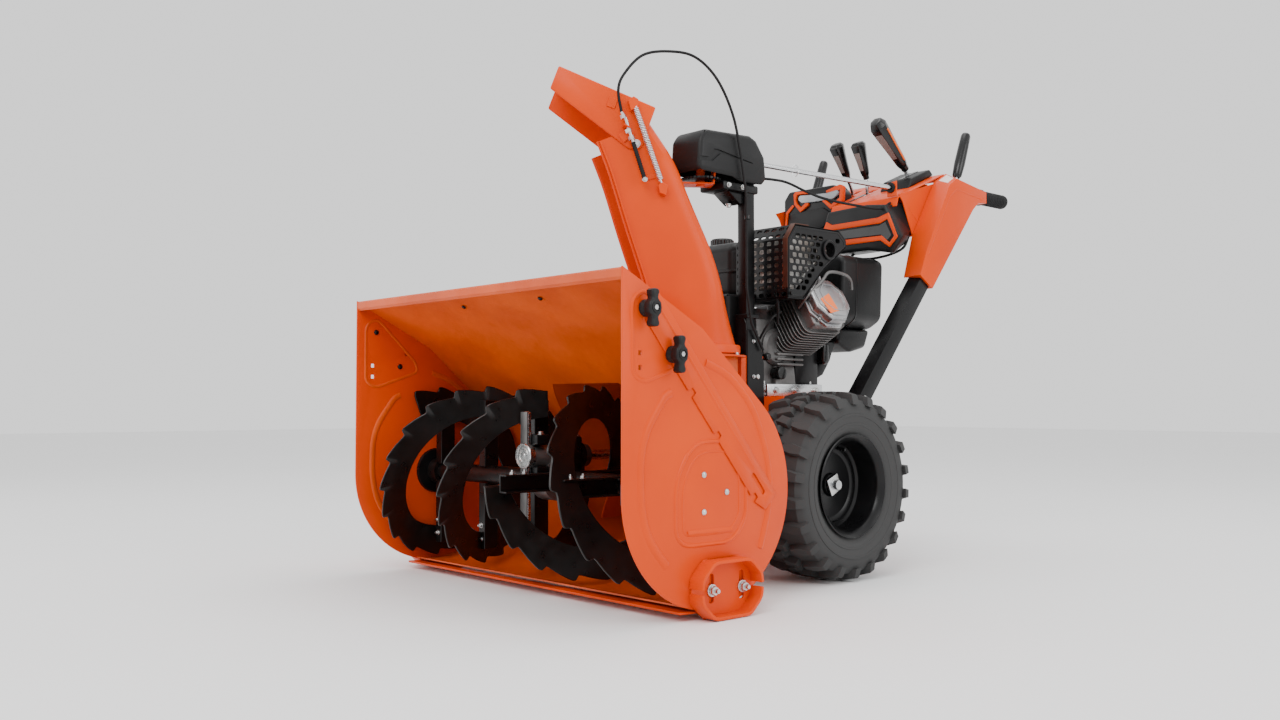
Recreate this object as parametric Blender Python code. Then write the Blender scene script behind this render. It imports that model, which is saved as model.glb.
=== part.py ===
"""Two stage snowblower: auger, impeller, engine, wheels, chute and controls.

Every length is in metres. Shapes are drawn from a datum at the front edge of
the auger housing: +X is the machine's left, +Y points back to the operator and
+Z is up from the ground. One empty then moves the machine so that the middle of
its length stands at the origin. Moving pieces have their origin on their axis.
"""

import math

import bmesh
import bpy
from mathutils import Matrix, Vector

# Whole machine
LENGTH = 1.560
HALF_WIDTH = 0.457
HOUSING_HEIGHT = 0.610
GAP = 0.0004
OVERLAP = 0.0020

# Auger housing
SHEET = 0.003
SIDE_SHEET = 0.004
AUGER_Y = 0.208
AUGER_Z = 0.222
PLATE_RADIUS = 0.208
SHELL_RADIUS = 0.206
ROOF_FOLD = (0.190, 0.512)
SHELL_END_Y = 0.158
ARC_STEP = math.radians(9)
SHOE_DEPTH = 0.034

# Auger and its drive
SHAFT_RADIUS = 0.0125
SLEEVE_RADIUS = 0.020
RIBBON_INNER = 0.128
RIBBON_OUTER = 0.196
RIBBON_TOOTH = 0.011
RIBBON_SHEET = 0.005
RIBBON_SWEEP = 380
RIBBON_LEAD = 1.3
RIBBON_PITCH = 0.462
RIBBON_STARTS_X = 0.0155
RIBBON_ENDS_X = 0.440
TOOTH_DEGREES = 20
ARM_PLACES = (0.052, 0.235, 0.412)
WORM_Z = 0.270
WORM_RADIUS = 0.013
WORM_WHEEL_RADIUS = 0.033

# Impeller
DRUM_RADIUS = 0.190
DRUM_FRONT_Y = 0.230
DRUM_BACK_Y = 0.6396
IMPELLER_RADIUS = 0.181
IMPELLER_FRONT_Y = 0.425
IMPELLER_BACK_Y = 0.600

# Chute, at rest turned to the machine's right
CHUTE_X = 0.090
CHUTE_Y = 0.550
CHUTE_REST = math.radians(-36)
COLLAR_Z = 0.4880
COLLAR_RADIUS = 0.0860
CHUTE_HALF_WIDTH = 0.0835
CHUTE_CHAMFER = 0.026
DEFLECTOR_HINGE = (-0.120, 0.990)
DEFLECTOR_HALF_WIDTH = 0.0885

# Tractor, axle and wheels
FRAME_HALF_WIDTH = 0.190
FRAME_FRONT_Y = 0.640
FRAME_STEP_Y = 0.712
FRAME_BACK_Y = 1.020
FRAME_TOP = 0.395
BLOCK_HALF_WIDTH = 0.128
BLOCK_TOP = 0.487
AXLE_Y = 0.731
AXLE_Z = 0.203
TYRE_RADIUS = 0.203
WHEEL_STEPS = 28

# Engine
CRANK_Z = 0.500
CYLINDER_Y = 0.855
CYLINDER_TILT = math.radians(30)

# Handles
TUBE = 0.038
TUBE_X = 0.237
GRIP_Z = 0.925
GRIP_X = 0.237

ORANGE = (0.83, 0.13, 0.012, 1.0)
DARK_ORANGE = (0.62, 0.09, 0.012, 1.0)
BLACK = (0.022, 0.022, 0.024, 1.0)
RUBBER = (0.030, 0.030, 0.032, 1.0)
STEEL = (0.55, 0.56, 0.57, 1.0)
CAST = (0.30, 0.30, 0.31, 1.0)

AXES = {"X": (1, 2, 0), "Y": (0, 2, 1), "Z": (0, 1, 2)}
SIDES = {"left": 1.0, "right": -1.0}


def clear_scene():
    """Remove every object so that the script can be run again."""
    for obj in list(bpy.data.objects):
        bpy.data.objects.remove(obj, do_unlink=True)


def finish(name, colour, roughness, metallic=0.0):
    """Return a Principled material, made once for each name."""
    found = bpy.data.materials.get(name)
    if found:
        return found
    made = bpy.data.materials.new(name)
    made.use_nodes = True
    shader = made.node_tree.nodes["Principled BSDF"]
    shader.inputs["Base Color"].default_value = colour
    shader.inputs["Roughness"].default_value = roughness
    shader.inputs["Metallic"].default_value = metallic
    return made


def paint_finish():
    return finish("orange_paint", ORANGE, 0.35)


def inner_paint_finish():
    return finish("shaded_orange_paint", DARK_ORANGE, 0.4)


def black_paint_finish():
    return finish("black_paint", BLACK, 0.4)


def plastic_finish():
    return finish("black_plastic", BLACK, 0.55)


def rubber_finish():
    return finish("rubber", RUBBER, 0.8)


def steel_finish():
    return finish("zinc_plated_steel", STEEL, 0.3, 1.0)


def cast_finish():
    return finish("cast_aluminium", CAST, 0.5, 1.0)


def add_object(name, bm, material, pivot=(0, 0, 0), turn_z=0.0):
    """Make an object from bm, with its origin at pivot, under the machine's empty.

    With turn_z, bm is drawn about the pivot's vertical axis and turned about it.
    """
    bmesh.ops.remove_doubles(bm, verts=bm.verts, dist=1e-6)
    bmesh.ops.recalc_face_normals(bm, faces=bm.faces)
    mesh = bpy.data.meshes.new(name)
    bm.to_mesh(mesh)
    bm.free()
    if not turn_z:
        mesh.transform(Matrix.Translation(-Vector(pivot)))
    mesh.materials.append(material)
    obj = bpy.data.objects.new(name, mesh)
    bpy.context.scene.collection.objects.link(obj)
    obj.location = pivot
    obj.rotation_euler = (0, 0, turn_z)
    obj.parent = bpy.data.objects["machine"]
    return obj


def combine(target, other, operation):
    """Add a live Boolean with another object, which becomes a hidden guide."""
    other.hide_render = True
    other.display_type = "WIRE"
    change = target.modifiers.new(operation.lower(), "BOOLEAN")
    change.operation = operation
    change.solver = "EXACT"
    change.object = other
    return target


def cut(target, *cutters):
    for cutter in cutters:
        combine(target, cutter, "DIFFERENCE")
    return target


def weld(target, *pieces):
    for piece in pieces:
        combine(target, piece, "UNION")
    return target


def prism_mesh(axis, outline, low, high):
    """Extrude a flat outline along an axis. X takes (y, z), Y (x, z) and Z (x, y)."""
    first, second, along = AXES[axis]
    bm = bmesh.new()
    verts = []
    for a, b in outline:
        place = [0.0, 0.0, 0.0]
        place[first], place[second], place[along] = a, b, low
        verts.append(bm.verts.new(place))
    face = bm.faces.new(verts)
    moved = bmesh.ops.extrude_face_region(bm, geom=[face])["geom"]
    step = Vector((0, 0, 0))
    step[along] = high - low
    bmesh.ops.translate(bm, verts=[v for v in moved if isinstance(v, bmesh.types.BMVert)], vec=step)
    return bm


def loft_mesh(first_outline, first_x, second_outline, second_x):
    """Join two (y, z) outlines of equal length, each on its own plane across X."""
    bm = bmesh.new()
    first = [bm.verts.new((first_x, y, z)) for y, z in first_outline]
    second = [bm.verts.new((second_x, y, z)) for y, z in second_outline]
    for i in range(len(first)):
        j = (i + 1) % len(first)
        bm.faces.new((first[i], first[j], second[j], second[i]))
    bm.faces.new(first)
    bm.faces.new(second)
    bmesh.ops.triangulate(bm, faces=bm.faces)
    return bm


def prism(name, material, axis, outline, low, high, pivot=(0, 0, 0), turn_z=0.0):
    return add_object(name, prism_mesh(axis, outline, low, high), material, pivot, turn_z)


def block(name, material, low, high, bevel=0.0, pivot=(0, 0, 0), turn_z=0.0):
    """A box between two corners, with its edges cut back by bevel."""
    outline = [(low[0], low[1]), (high[0], low[1]), (high[0], high[1]), (low[0], high[1])]
    bm = prism_mesh("Z", outline, low[2], high[2])
    if bevel:
        bmesh.ops.bevel(bm, geom=bm.edges[:], offset=bevel, segments=1, affect="EDGES")
    return add_object(name, bm, material, pivot, turn_z)


def rod(name, material, start, end, radius, steps=20, end_radius=None, pivot=(0, 0, 0), turn_z=0.0):
    """A round bar or cone between two points."""
    start, end = Vector(start), Vector(end)
    run = end - start
    bm = bmesh.new()
    place = Matrix.Translation((start + end) / 2) @ run.to_track_quat("Z", "Y").to_matrix().to_4x4()
    bmesh.ops.create_cone(
        bm, cap_ends=True, segments=steps, radius1=radius,
        radius2=radius if end_radius is None else end_radius, depth=run.length, matrix=place,
    )
    return add_object(name, bm, material, pivot, turn_z)


def turned_ring(name, material, axis, centre, profile, steps, pivot=(0, 0, 0)):
    """Turn a closed profile of (radius, place along axis) about an axis through centre."""
    first, second, along = AXES[axis]
    bm = bmesh.new()
    rings = []
    for k in range(steps):
        angle = math.tau * k / steps
        ring = []
        for radius, reach in profile:
            place = [0.0, 0.0, 0.0]
            place[first] = centre[0] + radius * math.cos(angle)
            place[second] = centre[1] + radius * math.sin(angle)
            place[along] = reach
            ring.append(bm.verts.new(place))
        rings.append(ring)
    for k in range(steps):
        here, there = rings[k], rings[(k + 1) % steps]
        for i in range(len(profile)):
            j = (i + 1) % len(profile)
            bm.faces.new((here[i], here[j], there[j], there[i]))
    return add_object(name, bm, material, pivot)


def offset_path(points, distance, closed=False):
    """Move a path sideways by distance, to its left, with mitred corners."""
    count = len(points)
    moved = []
    for i, point in enumerate(points):
        here = Vector(point)
        before = Vector(points[i - 1]) if i or closed else None
        after = Vector(points[(i + 1) % count]) if i < count - 1 or closed else None
        normals = []
        if before is not None:
            run = (here - before).normalized()
            normals.append(Vector((-run.y, run.x)))
        if after is not None:
            run = (after - here).normalized()
            normals.append(Vector((-run.y, run.x)))
        middle = sum(normals, Vector((0, 0))).normalized()
        moved.append(tuple(here + middle * (distance / middle.dot(normals[0]))))
    return moved


def sheet_outline(path, thickness):
    """The closed outline of a bent sheet whose middle line is the path."""
    half = thickness / 2
    return offset_path(path, half) + offset_path(path, -half)[::-1]


def arc(centre, radius, start, end, step=ARC_STEP):
    """Points of a circle from one angle to another, both included."""
    count = max(2, round(abs(end - start) / step))
    angles = [start + (end - start) * k / count for k in range(count + 1)]
    return [(centre[0] + radius * math.cos(a), centre[1] + radius * math.sin(a)) for a in angles]


def tangent_angle(point, centre, radius):
    """Angle, at the circle's centre, where a line from point touches its rear side."""
    run = Vector(point) - Vector(centre)
    return math.atan2(run.y, run.x) - math.acos(radius / run.length)


def side_plate_outline():
    """Straight front edge, sloping top and a round rear and bottom."""
    centre = (AUGER_Y, AUGER_Z)
    touch = tangent_angle(ROOF_FOLD, centre, PLATE_RADIUS)
    round_part = arc(centre, PLATE_RADIUS, touch, -math.pi)
    return [(0, HOUSING_HEIGHT), ROOF_FOLD] + round_part


def shell_path():
    """Middle line of the rolled shell, from the front lip round to the bottom."""
    centre = (AUGER_Y, AUGER_Z)
    fold = (ROOF_FOLD[0], ROOF_FOLD[1] - SHEET / 2)
    touch = tangent_angle(fold, centre, SHELL_RADIUS)
    end = -math.acos((SHELL_END_Y - AUGER_Y) / SHELL_RADIUS)
    lip = [(SHEET / 2, HOUSING_HEIGHT - 0.018), (SHEET / 2, HOUSING_HEIGHT - SHEET)]
    return lip + [fold] + arc(centre, SHELL_RADIUS, touch, end)


def shell_envelope(name):
    """Guide: all that is inside the shell's outer face, and a gap more."""
    path = offset_path(shell_path(), SHEET / 2 + GAP)
    outline = path + [(SHELL_END_Y, 0.0), (-0.05, 0.0), (-0.05, HOUSING_HEIGHT)]
    return prism(name, paint_finish(), "X", outline, -HALF_WIDTH, HALF_WIDTH)


def build_housing():
    inner = HALF_WIDTH - SIDE_SHEET - GAP
    outline = sheet_outline(shell_path(), SHEET)
    shell = prism("auger_housing", inner_paint_finish(), "X", outline, -inner, inner)
    mouth = rod(
        "housing_mouth_cutter", paint_finish(), (0, 0.29, WORM_Z), (0, 0.50, WORM_Z),
        DRUM_RADIUS - SHEET, 40,
    )
    cut(shell, mouth)
    for side, sign in SIDES.items():
        ends = sorted((sign * HALF_WIDTH, sign * (HALF_WIDTH - SIDE_SHEET)))
        prism(side + "_side_plate", paint_finish(), "X", side_plate_outline(), *ends)
    scraper = [(0.136, 0.0120), (0.196, 0.0095), (0.196, 0.0125), (0.136, 0.0165)]
    prism("scraper_bar", paint_finish(), "X", scraper, -inner, inner)


def build_skid_shoe(side, sign):
    """Reversible shoe: a plate with a flange round its top and one round its sole."""
    near = HALF_WIDTH + GAP
    sole = [(0.158, 0.030), (0.187, 0.003), (0.277, 0.003), (0.306, 0.030)]
    crown = [(y, 0.104 - z) for y, z in sole]
    outline = [(0.156, 0.030), (0.187, 0.0), (0.277, 0.0), (0.308, 0.030)]
    outline += [(0.308, 0.074), (0.277, 0.104), (0.187, 0.104), (0.156, 0.074)]

    def part(name, shape, depth):
        ends = sorted((sign * near, sign * (near + depth)))
        return prism(name, paint_finish(), "X", shape, *ends)

    shoe = part(side + "_skid_shoe", outline, 0.005)
    weld(
        shoe,
        part(side + "_shoe_sole_guide", sheet_outline(sole, 0.006), SHOE_DEPTH),
        part(side + "_shoe_crown_guide", sheet_outline(crown, 0.006), SHOE_DEPTH),
    )


def cutter_point(along, across):
    """A point on the stowed drift cutter, measured along it and across it."""
    run = Vector((0.641, -0.767)).normalized()
    side = Vector((-run.y, run.x))
    corner = Vector((0.0810, 0.5700)) + run * along + side * across
    return tuple(corner)


def build_drift_cutter(side, sign):
    """Long bar held flat on the side plate, with hook notches in its front edge."""
    length, width, notch = 0.470, 0.054, 0.012
    outline = [cutter_point(0, 0)]
    outline += [cutter_point(length, 0), cutter_point(length, -width + 0.012)]
    for place in (length - 0.030, 0.290, 0.190):
        outline += [
            cutter_point(place, -width), cutter_point(place, -width + notch),
            cutter_point(place - 0.012, -width + notch), cutter_point(place - 0.012, -width),
        ]
    outline += [cutter_point(0.020, -width), cutter_point(0, -width + 0.020)]
    near = HALF_WIDTH + GAP
    ends = sorted((sign * near, sign * (near + SHEET)))
    prism(side + "_drift_cutter", paint_finish(), "X", outline, *ends)


def build_knob(side, sign, level, y, z):
    """Long two-winged nut that clamps the drift cutter."""
    seat = HALF_WIDTH + SHEET + 2 * GAP
    pivot = (sign * seat, y, z)
    name = f"{side}_{level}_knob"
    hub = rod(
        name, plastic_finish(), (sign * seat, y, z), (sign * (seat + 0.030), y, z),
        0.0150, 16, 0.0120, pivot,
    )
    wing = [(-0.008, -0.032), (0.008, -0.032), (0.010, -0.025), (0.006, -0.011)]
    wing += [(0.006, 0.011), (0.010, 0.025), (0.008, 0.032), (-0.008, 0.032)]
    wing += [(-0.010, 0.025), (-0.006, 0.011), (-0.006, -0.011), (-0.010, -0.025)]
    shape = [(y + a, z + b) for a, b in wing]
    ends = sorted((sign * (seat + 0.012), sign * (seat + 0.027)))
    weld(hub, prism(name + "_wing_guide", plastic_finish(), "X", shape, *ends))


def ribbon_mesh(sign, first_angle):
    """Toothed helical band. Angles run from the top over the front of the auger."""
    steps = round(RIBBON_SWEEP / TOOTH_DEGREES) * 2
    bm = bmesh.new()
    rings = []
    for k in range(steps + 1):
        swept = RIBBON_SWEEP * k / steps
        middle = min(RIBBON_STARTS_X + RIBBON_PITCH * swept / 360, RIBBON_ENDS_X)
        angle = math.radians(first_angle + swept)
        outer = RIBBON_OUTER - (RIBBON_TOOTH if k % 2 else 0)
        ring = []
        for radius, side in ((RIBBON_INNER, -1), (outer, -1), (outer, 1), (RIBBON_INNER, 1)):
            x = sign * (middle + side * RIBBON_SHEET / 2)
            y = AUGER_Y - radius * math.sin(angle)
            z = AUGER_Z + radius * math.cos(angle)
            ring.append(bm.verts.new((x, y, z)))
        rings.append(ring)
    for here, there in zip(rings, rings[1:]):
        for i in range(4):
            j = (i + 1) % 4
            bm.faces.new((here[i], here[j], there[j], there[i]))
    bm.faces.new(rings[0])
    bm.faces.new(rings[-1])
    return bm


def build_auger_half(side, sign, first_angle):
    """Sleeve on the auger shaft, three channel arms and two toothed ribbons."""
    pivot = (0, AUGER_Y, AUGER_Z)
    name = side + "_auger"
    centre = (AUGER_Y, AUGER_Z)
    ends = (sign * 0.026, sign * 0.446)
    sleeve_profile = [
        (SLEEVE_RADIUS, ends[0]), (SLEEVE_RADIUS, ends[1]),
        (SHAFT_RADIUS + GAP, ends[1]), (SHAFT_RADIUS + GAP, ends[0]),
    ]
    auger = turned_ring(name, black_paint_finish(), "X", centre, sleeve_profile, 16, pivot)
    reach = RIBBON_INNER + 0.035
    inner = SLEEVE_RADIUS - 0.003
    turn = math.radians(first_angle)
    for k, place in enumerate(ARM_PLACES):
        for half, flip in (("a", 1), ("b", -1)):
            across = 0.0155
            shape = []
            for along, over in ((inner, -across), (reach, -across), (reach, across), (inner, across)):
                shape.append((
                    AUGER_Y - flip * along * math.sin(turn) + over * math.cos(turn),
                    AUGER_Z + flip * along * math.cos(turn) + over * math.sin(turn),
                ))
            low, high = sorted((sign * (place - 0.010), sign * (place + 0.010)))
            arm = prism(f"{name}_arm_guide_{k}{half}", black_paint_finish(), "X", shape, low, high)
            weld(auger, arm)
    first_angle += RIBBON_LEAD
    for label, angle in (("a", first_angle), ("b", first_angle + 180)):
        ribbon = add_object(
            f"{name}_ribbon_guide_{label}", ribbon_mesh(sign, angle), black_paint_finish()
        )
        weld(auger, ribbon)


def build_auger():
    pivot = (0, AUGER_Y, AUGER_Z)
    end = HALF_WIDTH - SIDE_SHEET - GAP
    rod("auger_shaft", steel_finish(), (-end, AUGER_Y, AUGER_Z), (end, AUGER_Y, AUGER_Z),
        SHAFT_RADIUS, 16, pivot=pivot)
    build_auger_half("right", -1.0, 0)
    build_auger_half("left", 1.0, 90)
    teeth = 24
    outline = []
    for k in range(teeth * 2):
        radius = WORM_WHEEL_RADIUS - (0.004 if k % 2 else 0)
        angle = math.tau * k / (teeth * 2)
        outline.append((AUGER_Y + radius * math.cos(angle), AUGER_Z + radius * math.sin(angle)))
    wheel = prism("worm_wheel", steel_finish(), "X", outline, -0.011, 0.011, pivot)
    bore = rod("worm_wheel_bore_cutter", steel_finish(), (-0.02, AUGER_Y, AUGER_Z),
               (0.02, AUGER_Y, AUGER_Z), SHAFT_RADIUS + GAP, 16)
    cut(wheel, bore)


def build_gearcase():
    """Casting round the worm and its wheel, open at the rear, with a strap in front."""
    back = 0.292
    case = rod("gearcase", cast_finish(), (-0.022, AUGER_Y, AUGER_Z), (0.022, AUGER_Y, AUGER_Z),
               0.043, 28)
    snout = rod("gearcase_snout_guide", cast_finish(), (0, 0.142, WORM_Z), (0, back, WORM_Z), 0.024, 24)
    strap = block("gearcase_strap_guide", steel_finish(), (-0.011, 0.132, 0.100), (0.011, 0.1425, 0.362))
    weld(case, snout, strap)
    cut(
        case,
        rod("gearcase_wheel_cutter", cast_finish(), (-0.014, AUGER_Y, AUGER_Z),
            (0.014, AUGER_Y, AUGER_Z), 0.037, 28),
        rod("gearcase_worm_cutter", cast_finish(), (0, 0.152, WORM_Z), (0, back + 0.01, WORM_Z), 0.016, 20),
        rod("gearcase_shaft_cutter", cast_finish(), (-0.03, AUGER_Y, AUGER_Z),
            (0.03, AUGER_Y, AUGER_Z), SHAFT_RADIUS + 0.001, 16),
    )


def build_impeller():
    pivot = (0, DRUM_BACK_Y, WORM_Z)
    shaft = rod("impeller_shaft", steel_finish(), (0, 0.156, WORM_Z), (0, 0.698, WORM_Z), 0.0105, 16,
                pivot=pivot)
    weld(shaft, rod("worm_guide", steel_finish(), (0, 0.176, WORM_Z), (0, 0.240, WORM_Z), WORM_RADIUS, 16))
    hub_profile = [
        (0.030, IMPELLER_FRONT_Y), (0.030, IMPELLER_BACK_Y),
        (0.0105 + GAP, IMPELLER_BACK_Y), (0.0105 + GAP, IMPELLER_FRONT_Y),
    ]
    impeller = turned_ring("impeller", inner_paint_finish(), "Y", (0, WORM_Z), hub_profile, 20, pivot)
    blades = 4
    for k in range(blades):
        angle = math.tau * (k + 0.5) / blades
        along = Vector((math.cos(angle), math.sin(angle)))
        across = Vector((-along.y, along.x))
        scoop = [along * 0.027, along * 0.120 + across * 0.006, along * IMPELLER_RADIUS + across * 0.030]
        path = [(p.x, WORM_Z + p.y) for p in scoop]
        blade = prism(f"impeller_blade_guide_{k}", inner_paint_finish(), "Y", sheet_outline(path, 0.005),
                      IMPELLER_FRONT_Y + 0.003, IMPELLER_BACK_Y - 0.003)
        weld(impeller, blade)


def build_impeller_housing():
    """Drum behind the mouth, with the round neck that the chute turns on."""
    outer = rod("impeller_housing", inner_paint_finish(), (0, DRUM_FRONT_Y, WORM_Z),
                (0, DRUM_BACK_Y, WORM_Z), DRUM_RADIUS, 40)
    neck = rod("neck_guide", inner_paint_finish(), (CHUTE_X, CHUTE_Y, 0.340),
               (CHUTE_X, CHUTE_Y, COLLAR_Z - GAP), 0.0820, 32)
    weld(outer, neck)
    bottom = (CHUTE_X, CHUTE_Y, 0.340)
    cut(
        outer,
        rod("drum_cutter", inner_paint_finish(), (0, 0.20, WORM_Z), (0, DRUM_BACK_Y - SHEET, WORM_Z),
            DRUM_RADIUS - SHEET, 40),
        rod("neck_cutter", inner_paint_finish(), bottom, (CHUTE_X, CHUTE_Y, 0.52), 0.0790, 32),
        rod("drum_shaft_cutter", inner_paint_finish(), (0, 0.62, WORM_Z), (0, 0.66, WORM_Z), 0.0125, 16),
        shell_envelope("shell_cutter"),
    )


def chute_station(rear, front, half_width, roundness, thickness):
    """One open section of the chute: outer points, then inner points back again.

    Args give the (y, z) of the back and of the front edge. Roundness 1 is the
    round foot that fits the collar, and 0 the square channel with cut corners.
    """
    rear, front = Vector(rear), Vector(front)
    run = front - rear
    depth = run.length
    run.normalize()
    loops = []
    for inset in (0.0, thickness):
        wide = half_width - inset
        corner = CHUTE_CHAMFER
        square = [(depth, wide), (depth * 0.55, wide), (corner, wide), (inset, wide - corner + inset), (inset, 0)]
        radius = COLLAR_RADIUS - 0.006 - inset
        centre = depth / 2
        rounded = []
        for degrees in (20, 62, 104, 146, 180):
            angle = math.radians(degrees)
            rounded.append((centre + radius * math.cos(angle), radius * math.sin(angle)))
        half = []
        for (a, b), (c, d) in zip(square, rounded):
            half.append((a + (c - a) * roundness, b + (d - b) * roundness))
        loop = [(s, w) for s, w in half] + [(s, -w) for s, w in half[-2::-1]]
        loops.append([(w, *(rear + run * s)) for s, w in loop])
    return loops[0] + loops[1][::-1]


def build_chute():
    """Tall channel on a turning collar, with the arm that the gear turns it by."""
    pivot = (CHUTE_X, CHUTE_Y, COLLAR_Z)
    foot = COLLAR_RADIUS - 0.006
    stations = [
        ((foot, 0.496), (-foot, 0.496), 1.0),
        ((0.064, 0.540), (-0.090, 0.540), 0.75),
        ((0.043, 0.624), (-0.124, 0.603), 0.15),
        ((0.015, 0.711), (-0.143, 0.659), 0.0),
        ((-0.031, 0.820), (-0.177, 0.763), 0.0),
        ((-0.067, 0.906), (-0.209, 0.867), 0.0),
        ((-0.120, 0.988), (-0.236, 0.939), 0.0),
    ]
    bm = bmesh.new()
    rings = []
    for rear, front, roundness in stations:
        shape = chute_station(rear, front, CHUTE_HALF_WIDTH, roundness, SHEET)
        rings.append([bm.verts.new((x, y, z - COLLAR_Z)) for x, y, z in shape])
    for here, there in zip(rings, rings[1:]):
        for i in range(len(here)):
            j = (i + 1) % len(here)
            bm.faces.new((here[i], here[j], there[j], there[i]))
    bm.faces.new(rings[0])
    bm.faces.new(rings[-1])
    bmesh.ops.triangulate(bm, faces=bm.faces)
    chute = add_object("chute", bm, paint_finish(), pivot, CHUTE_REST)
    ring = [
        (COLLAR_RADIUS, COLLAR_Z), (COLLAR_RADIUS, COLLAR_Z + 0.019),
        (0.071, COLLAR_Z + 0.019), (0.071, COLLAR_Z),
    ]
    collar = turned_ring("collar_guide", paint_finish(), "Z", (CHUTE_X, CHUTE_Y), ring, 32)
    arm = block("chute_arm_guide", paint_finish(), (-0.022, -0.072, 0.376), (0.022, 0.020, 0.381),
                pivot=pivot, turn_z=CHUTE_REST)
    pin = rod("chute_pin_guide", steel_finish(), (CHUTE_X, CHUTE_Y, COLLAR_Z + 0.377),
              (CHUTE_X, CHUTE_Y, 0.945), 0.010, 16)
    weld(chute, collar, arm, pin)


def build_deflector():
    """Hood over the chute's mouth, hinged at the chute's back edge."""
    hinge_y, hinge_z = DEFLECTOR_HINGE
    turn = Matrix.Rotation(CHUTE_REST, 4, "Z")
    pivot = Vector((CHUTE_X, CHUTE_Y, 0)) + turn @ Vector((0, hinge_y, hinge_z))

    def local(points):
        return [(y - hinge_y, z - hinge_z) for y, z in points]

    side = local([
        (-0.110, 1.016), (-0.319, 1.101), (-0.338, 1.051), (-0.170, 0.925),
        (-0.150, 0.922), (-0.138, 0.932), (-0.134, 0.950),
    ])
    half = DEFLECTOR_HALF_WIDTH
    hood = prism("deflector", paint_finish(), "X", side, -half, half, pivot, CHUTE_REST)
    hollow = local([
        (-0.100, 1.0085), (-0.319, 1.0975), (-0.360, 1.060), (-0.340, 0.980), (-0.10, 0.90),
    ])
    inside = half - SHEET
    cut(hood, prism("deflector_cutter", paint_finish(), "X", hollow, -inside, inside, pivot, CHUTE_REST))

    def beside(y, z, out):
        """A point on the near side of the hood, in the machine's frame."""
        return Vector((CHUTE_X, CHUTE_Y, 0)) + turn @ Vector((half + out, y, z))

    rod("deflector_spring", steel_finish(), beside(-0.097, 0.842, 0.012), beside(-0.155, 1.006, 0.012),
        0.0065, 12)
    return beside(-0.186, 1.000, 0.014)


def build_chute_drive():
    """Post, gear cover and the rod that runs back to the dash."""
    cover_low, cover_high = (0.042, 0.500, 0.880), (0.138, 0.720, 0.988)
    cover = block("chute_gear_cover", plastic_finish(), cover_low, cover_high, 0.016)
    wall = 0.004
    hollow = block(
        "gear_cover_cutter", plastic_finish(),
        (cover_low[0] + wall, cover_low[1] + wall, cover_low[2] - 0.02),
        (cover_high[0] - wall, cover_high[1] - wall, cover_high[2] - wall), 0.016,
    )
    cut(cover, hollow)
    post = block("chute_post", black_paint_finish(), (0.098, 0.662, BLOCK_TOP + GAP), (0.124, 0.690, 0.975))
    hollow = block("post_cutter", black_paint_finish(), (0.1005, 0.6645, 0.50), (0.1215, 0.6875, 1.0))
    cut(post, hollow)
    start, end = Vector((0.1120, 0.7218, 0.9330)), Vector((0.1880, 1.1260, 0.9180))
    rod("chute_rod", steel_finish(), start, end, 0.0060, 12, pivot=start)


def build_cable(start):
    """Deflector cable, held from the hood's bracket to the dash."""
    route = [
        start, (0.064, 0.330, 1.046), (0.068, 0.343, 1.082), (0.080, 0.385, 1.128), (0.096, 0.445, 1.1450),
        (0.114, 0.508, 1.142), (0.131, 0.560, 1.100), (0.144, 0.598, 1.023), (0.146, 0.622, 0.935),
        (0.146, 0.638, 0.850), (0.136, 0.650, 0.800), (0.140, 0.676, 0.800), (0.155, 0.760, 0.852),
        (0.165, 0.860, 0.876), (0.176, 0.980, 0.870), (0.186, 1.120, 0.878),
    ]
    curve = bpy.data.curves.new("deflector_cable", "CURVE")
    curve.dimensions = "3D"
    curve.bevel_depth = 0.0032
    curve.bevel_resolution = 2
    curve.use_fill_caps = True
    smooth = smooth_route([Vector(p) for p in route], 3)
    line = curve.splines.new("POLY")
    line.points.add(len(smooth) - 1)
    for point, place in zip(line.points, smooth):
        point.co = (*place, 1.0)
    curve.materials.append(rubber_finish())
    obj = bpy.data.objects.new("deflector_cable", curve)
    bpy.context.scene.collection.objects.link(obj)
    obj.parent = bpy.data.objects["machine"]


def smooth_route(points, steps):
    """Points of a Catmull-Rom curve through the given ones."""
    padded = [points[0] * 2 - points[1]] + points + [points[-1] * 2 - points[-2]]
    route = []
    for a, b, c, d in zip(padded, padded[1:], padded[2:], padded[3:]):
        for k in range(steps):
            t = k / steps
            route.append(
                b + (c - a) * (t / 2) + (a * 2 - b * 5 + c * 4 - d) * (t * t / 2)
                + (b * 3 - a - c * 3 + d) * (t ** 3 / 2)
            )
    return route + [points[-1]]


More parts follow.
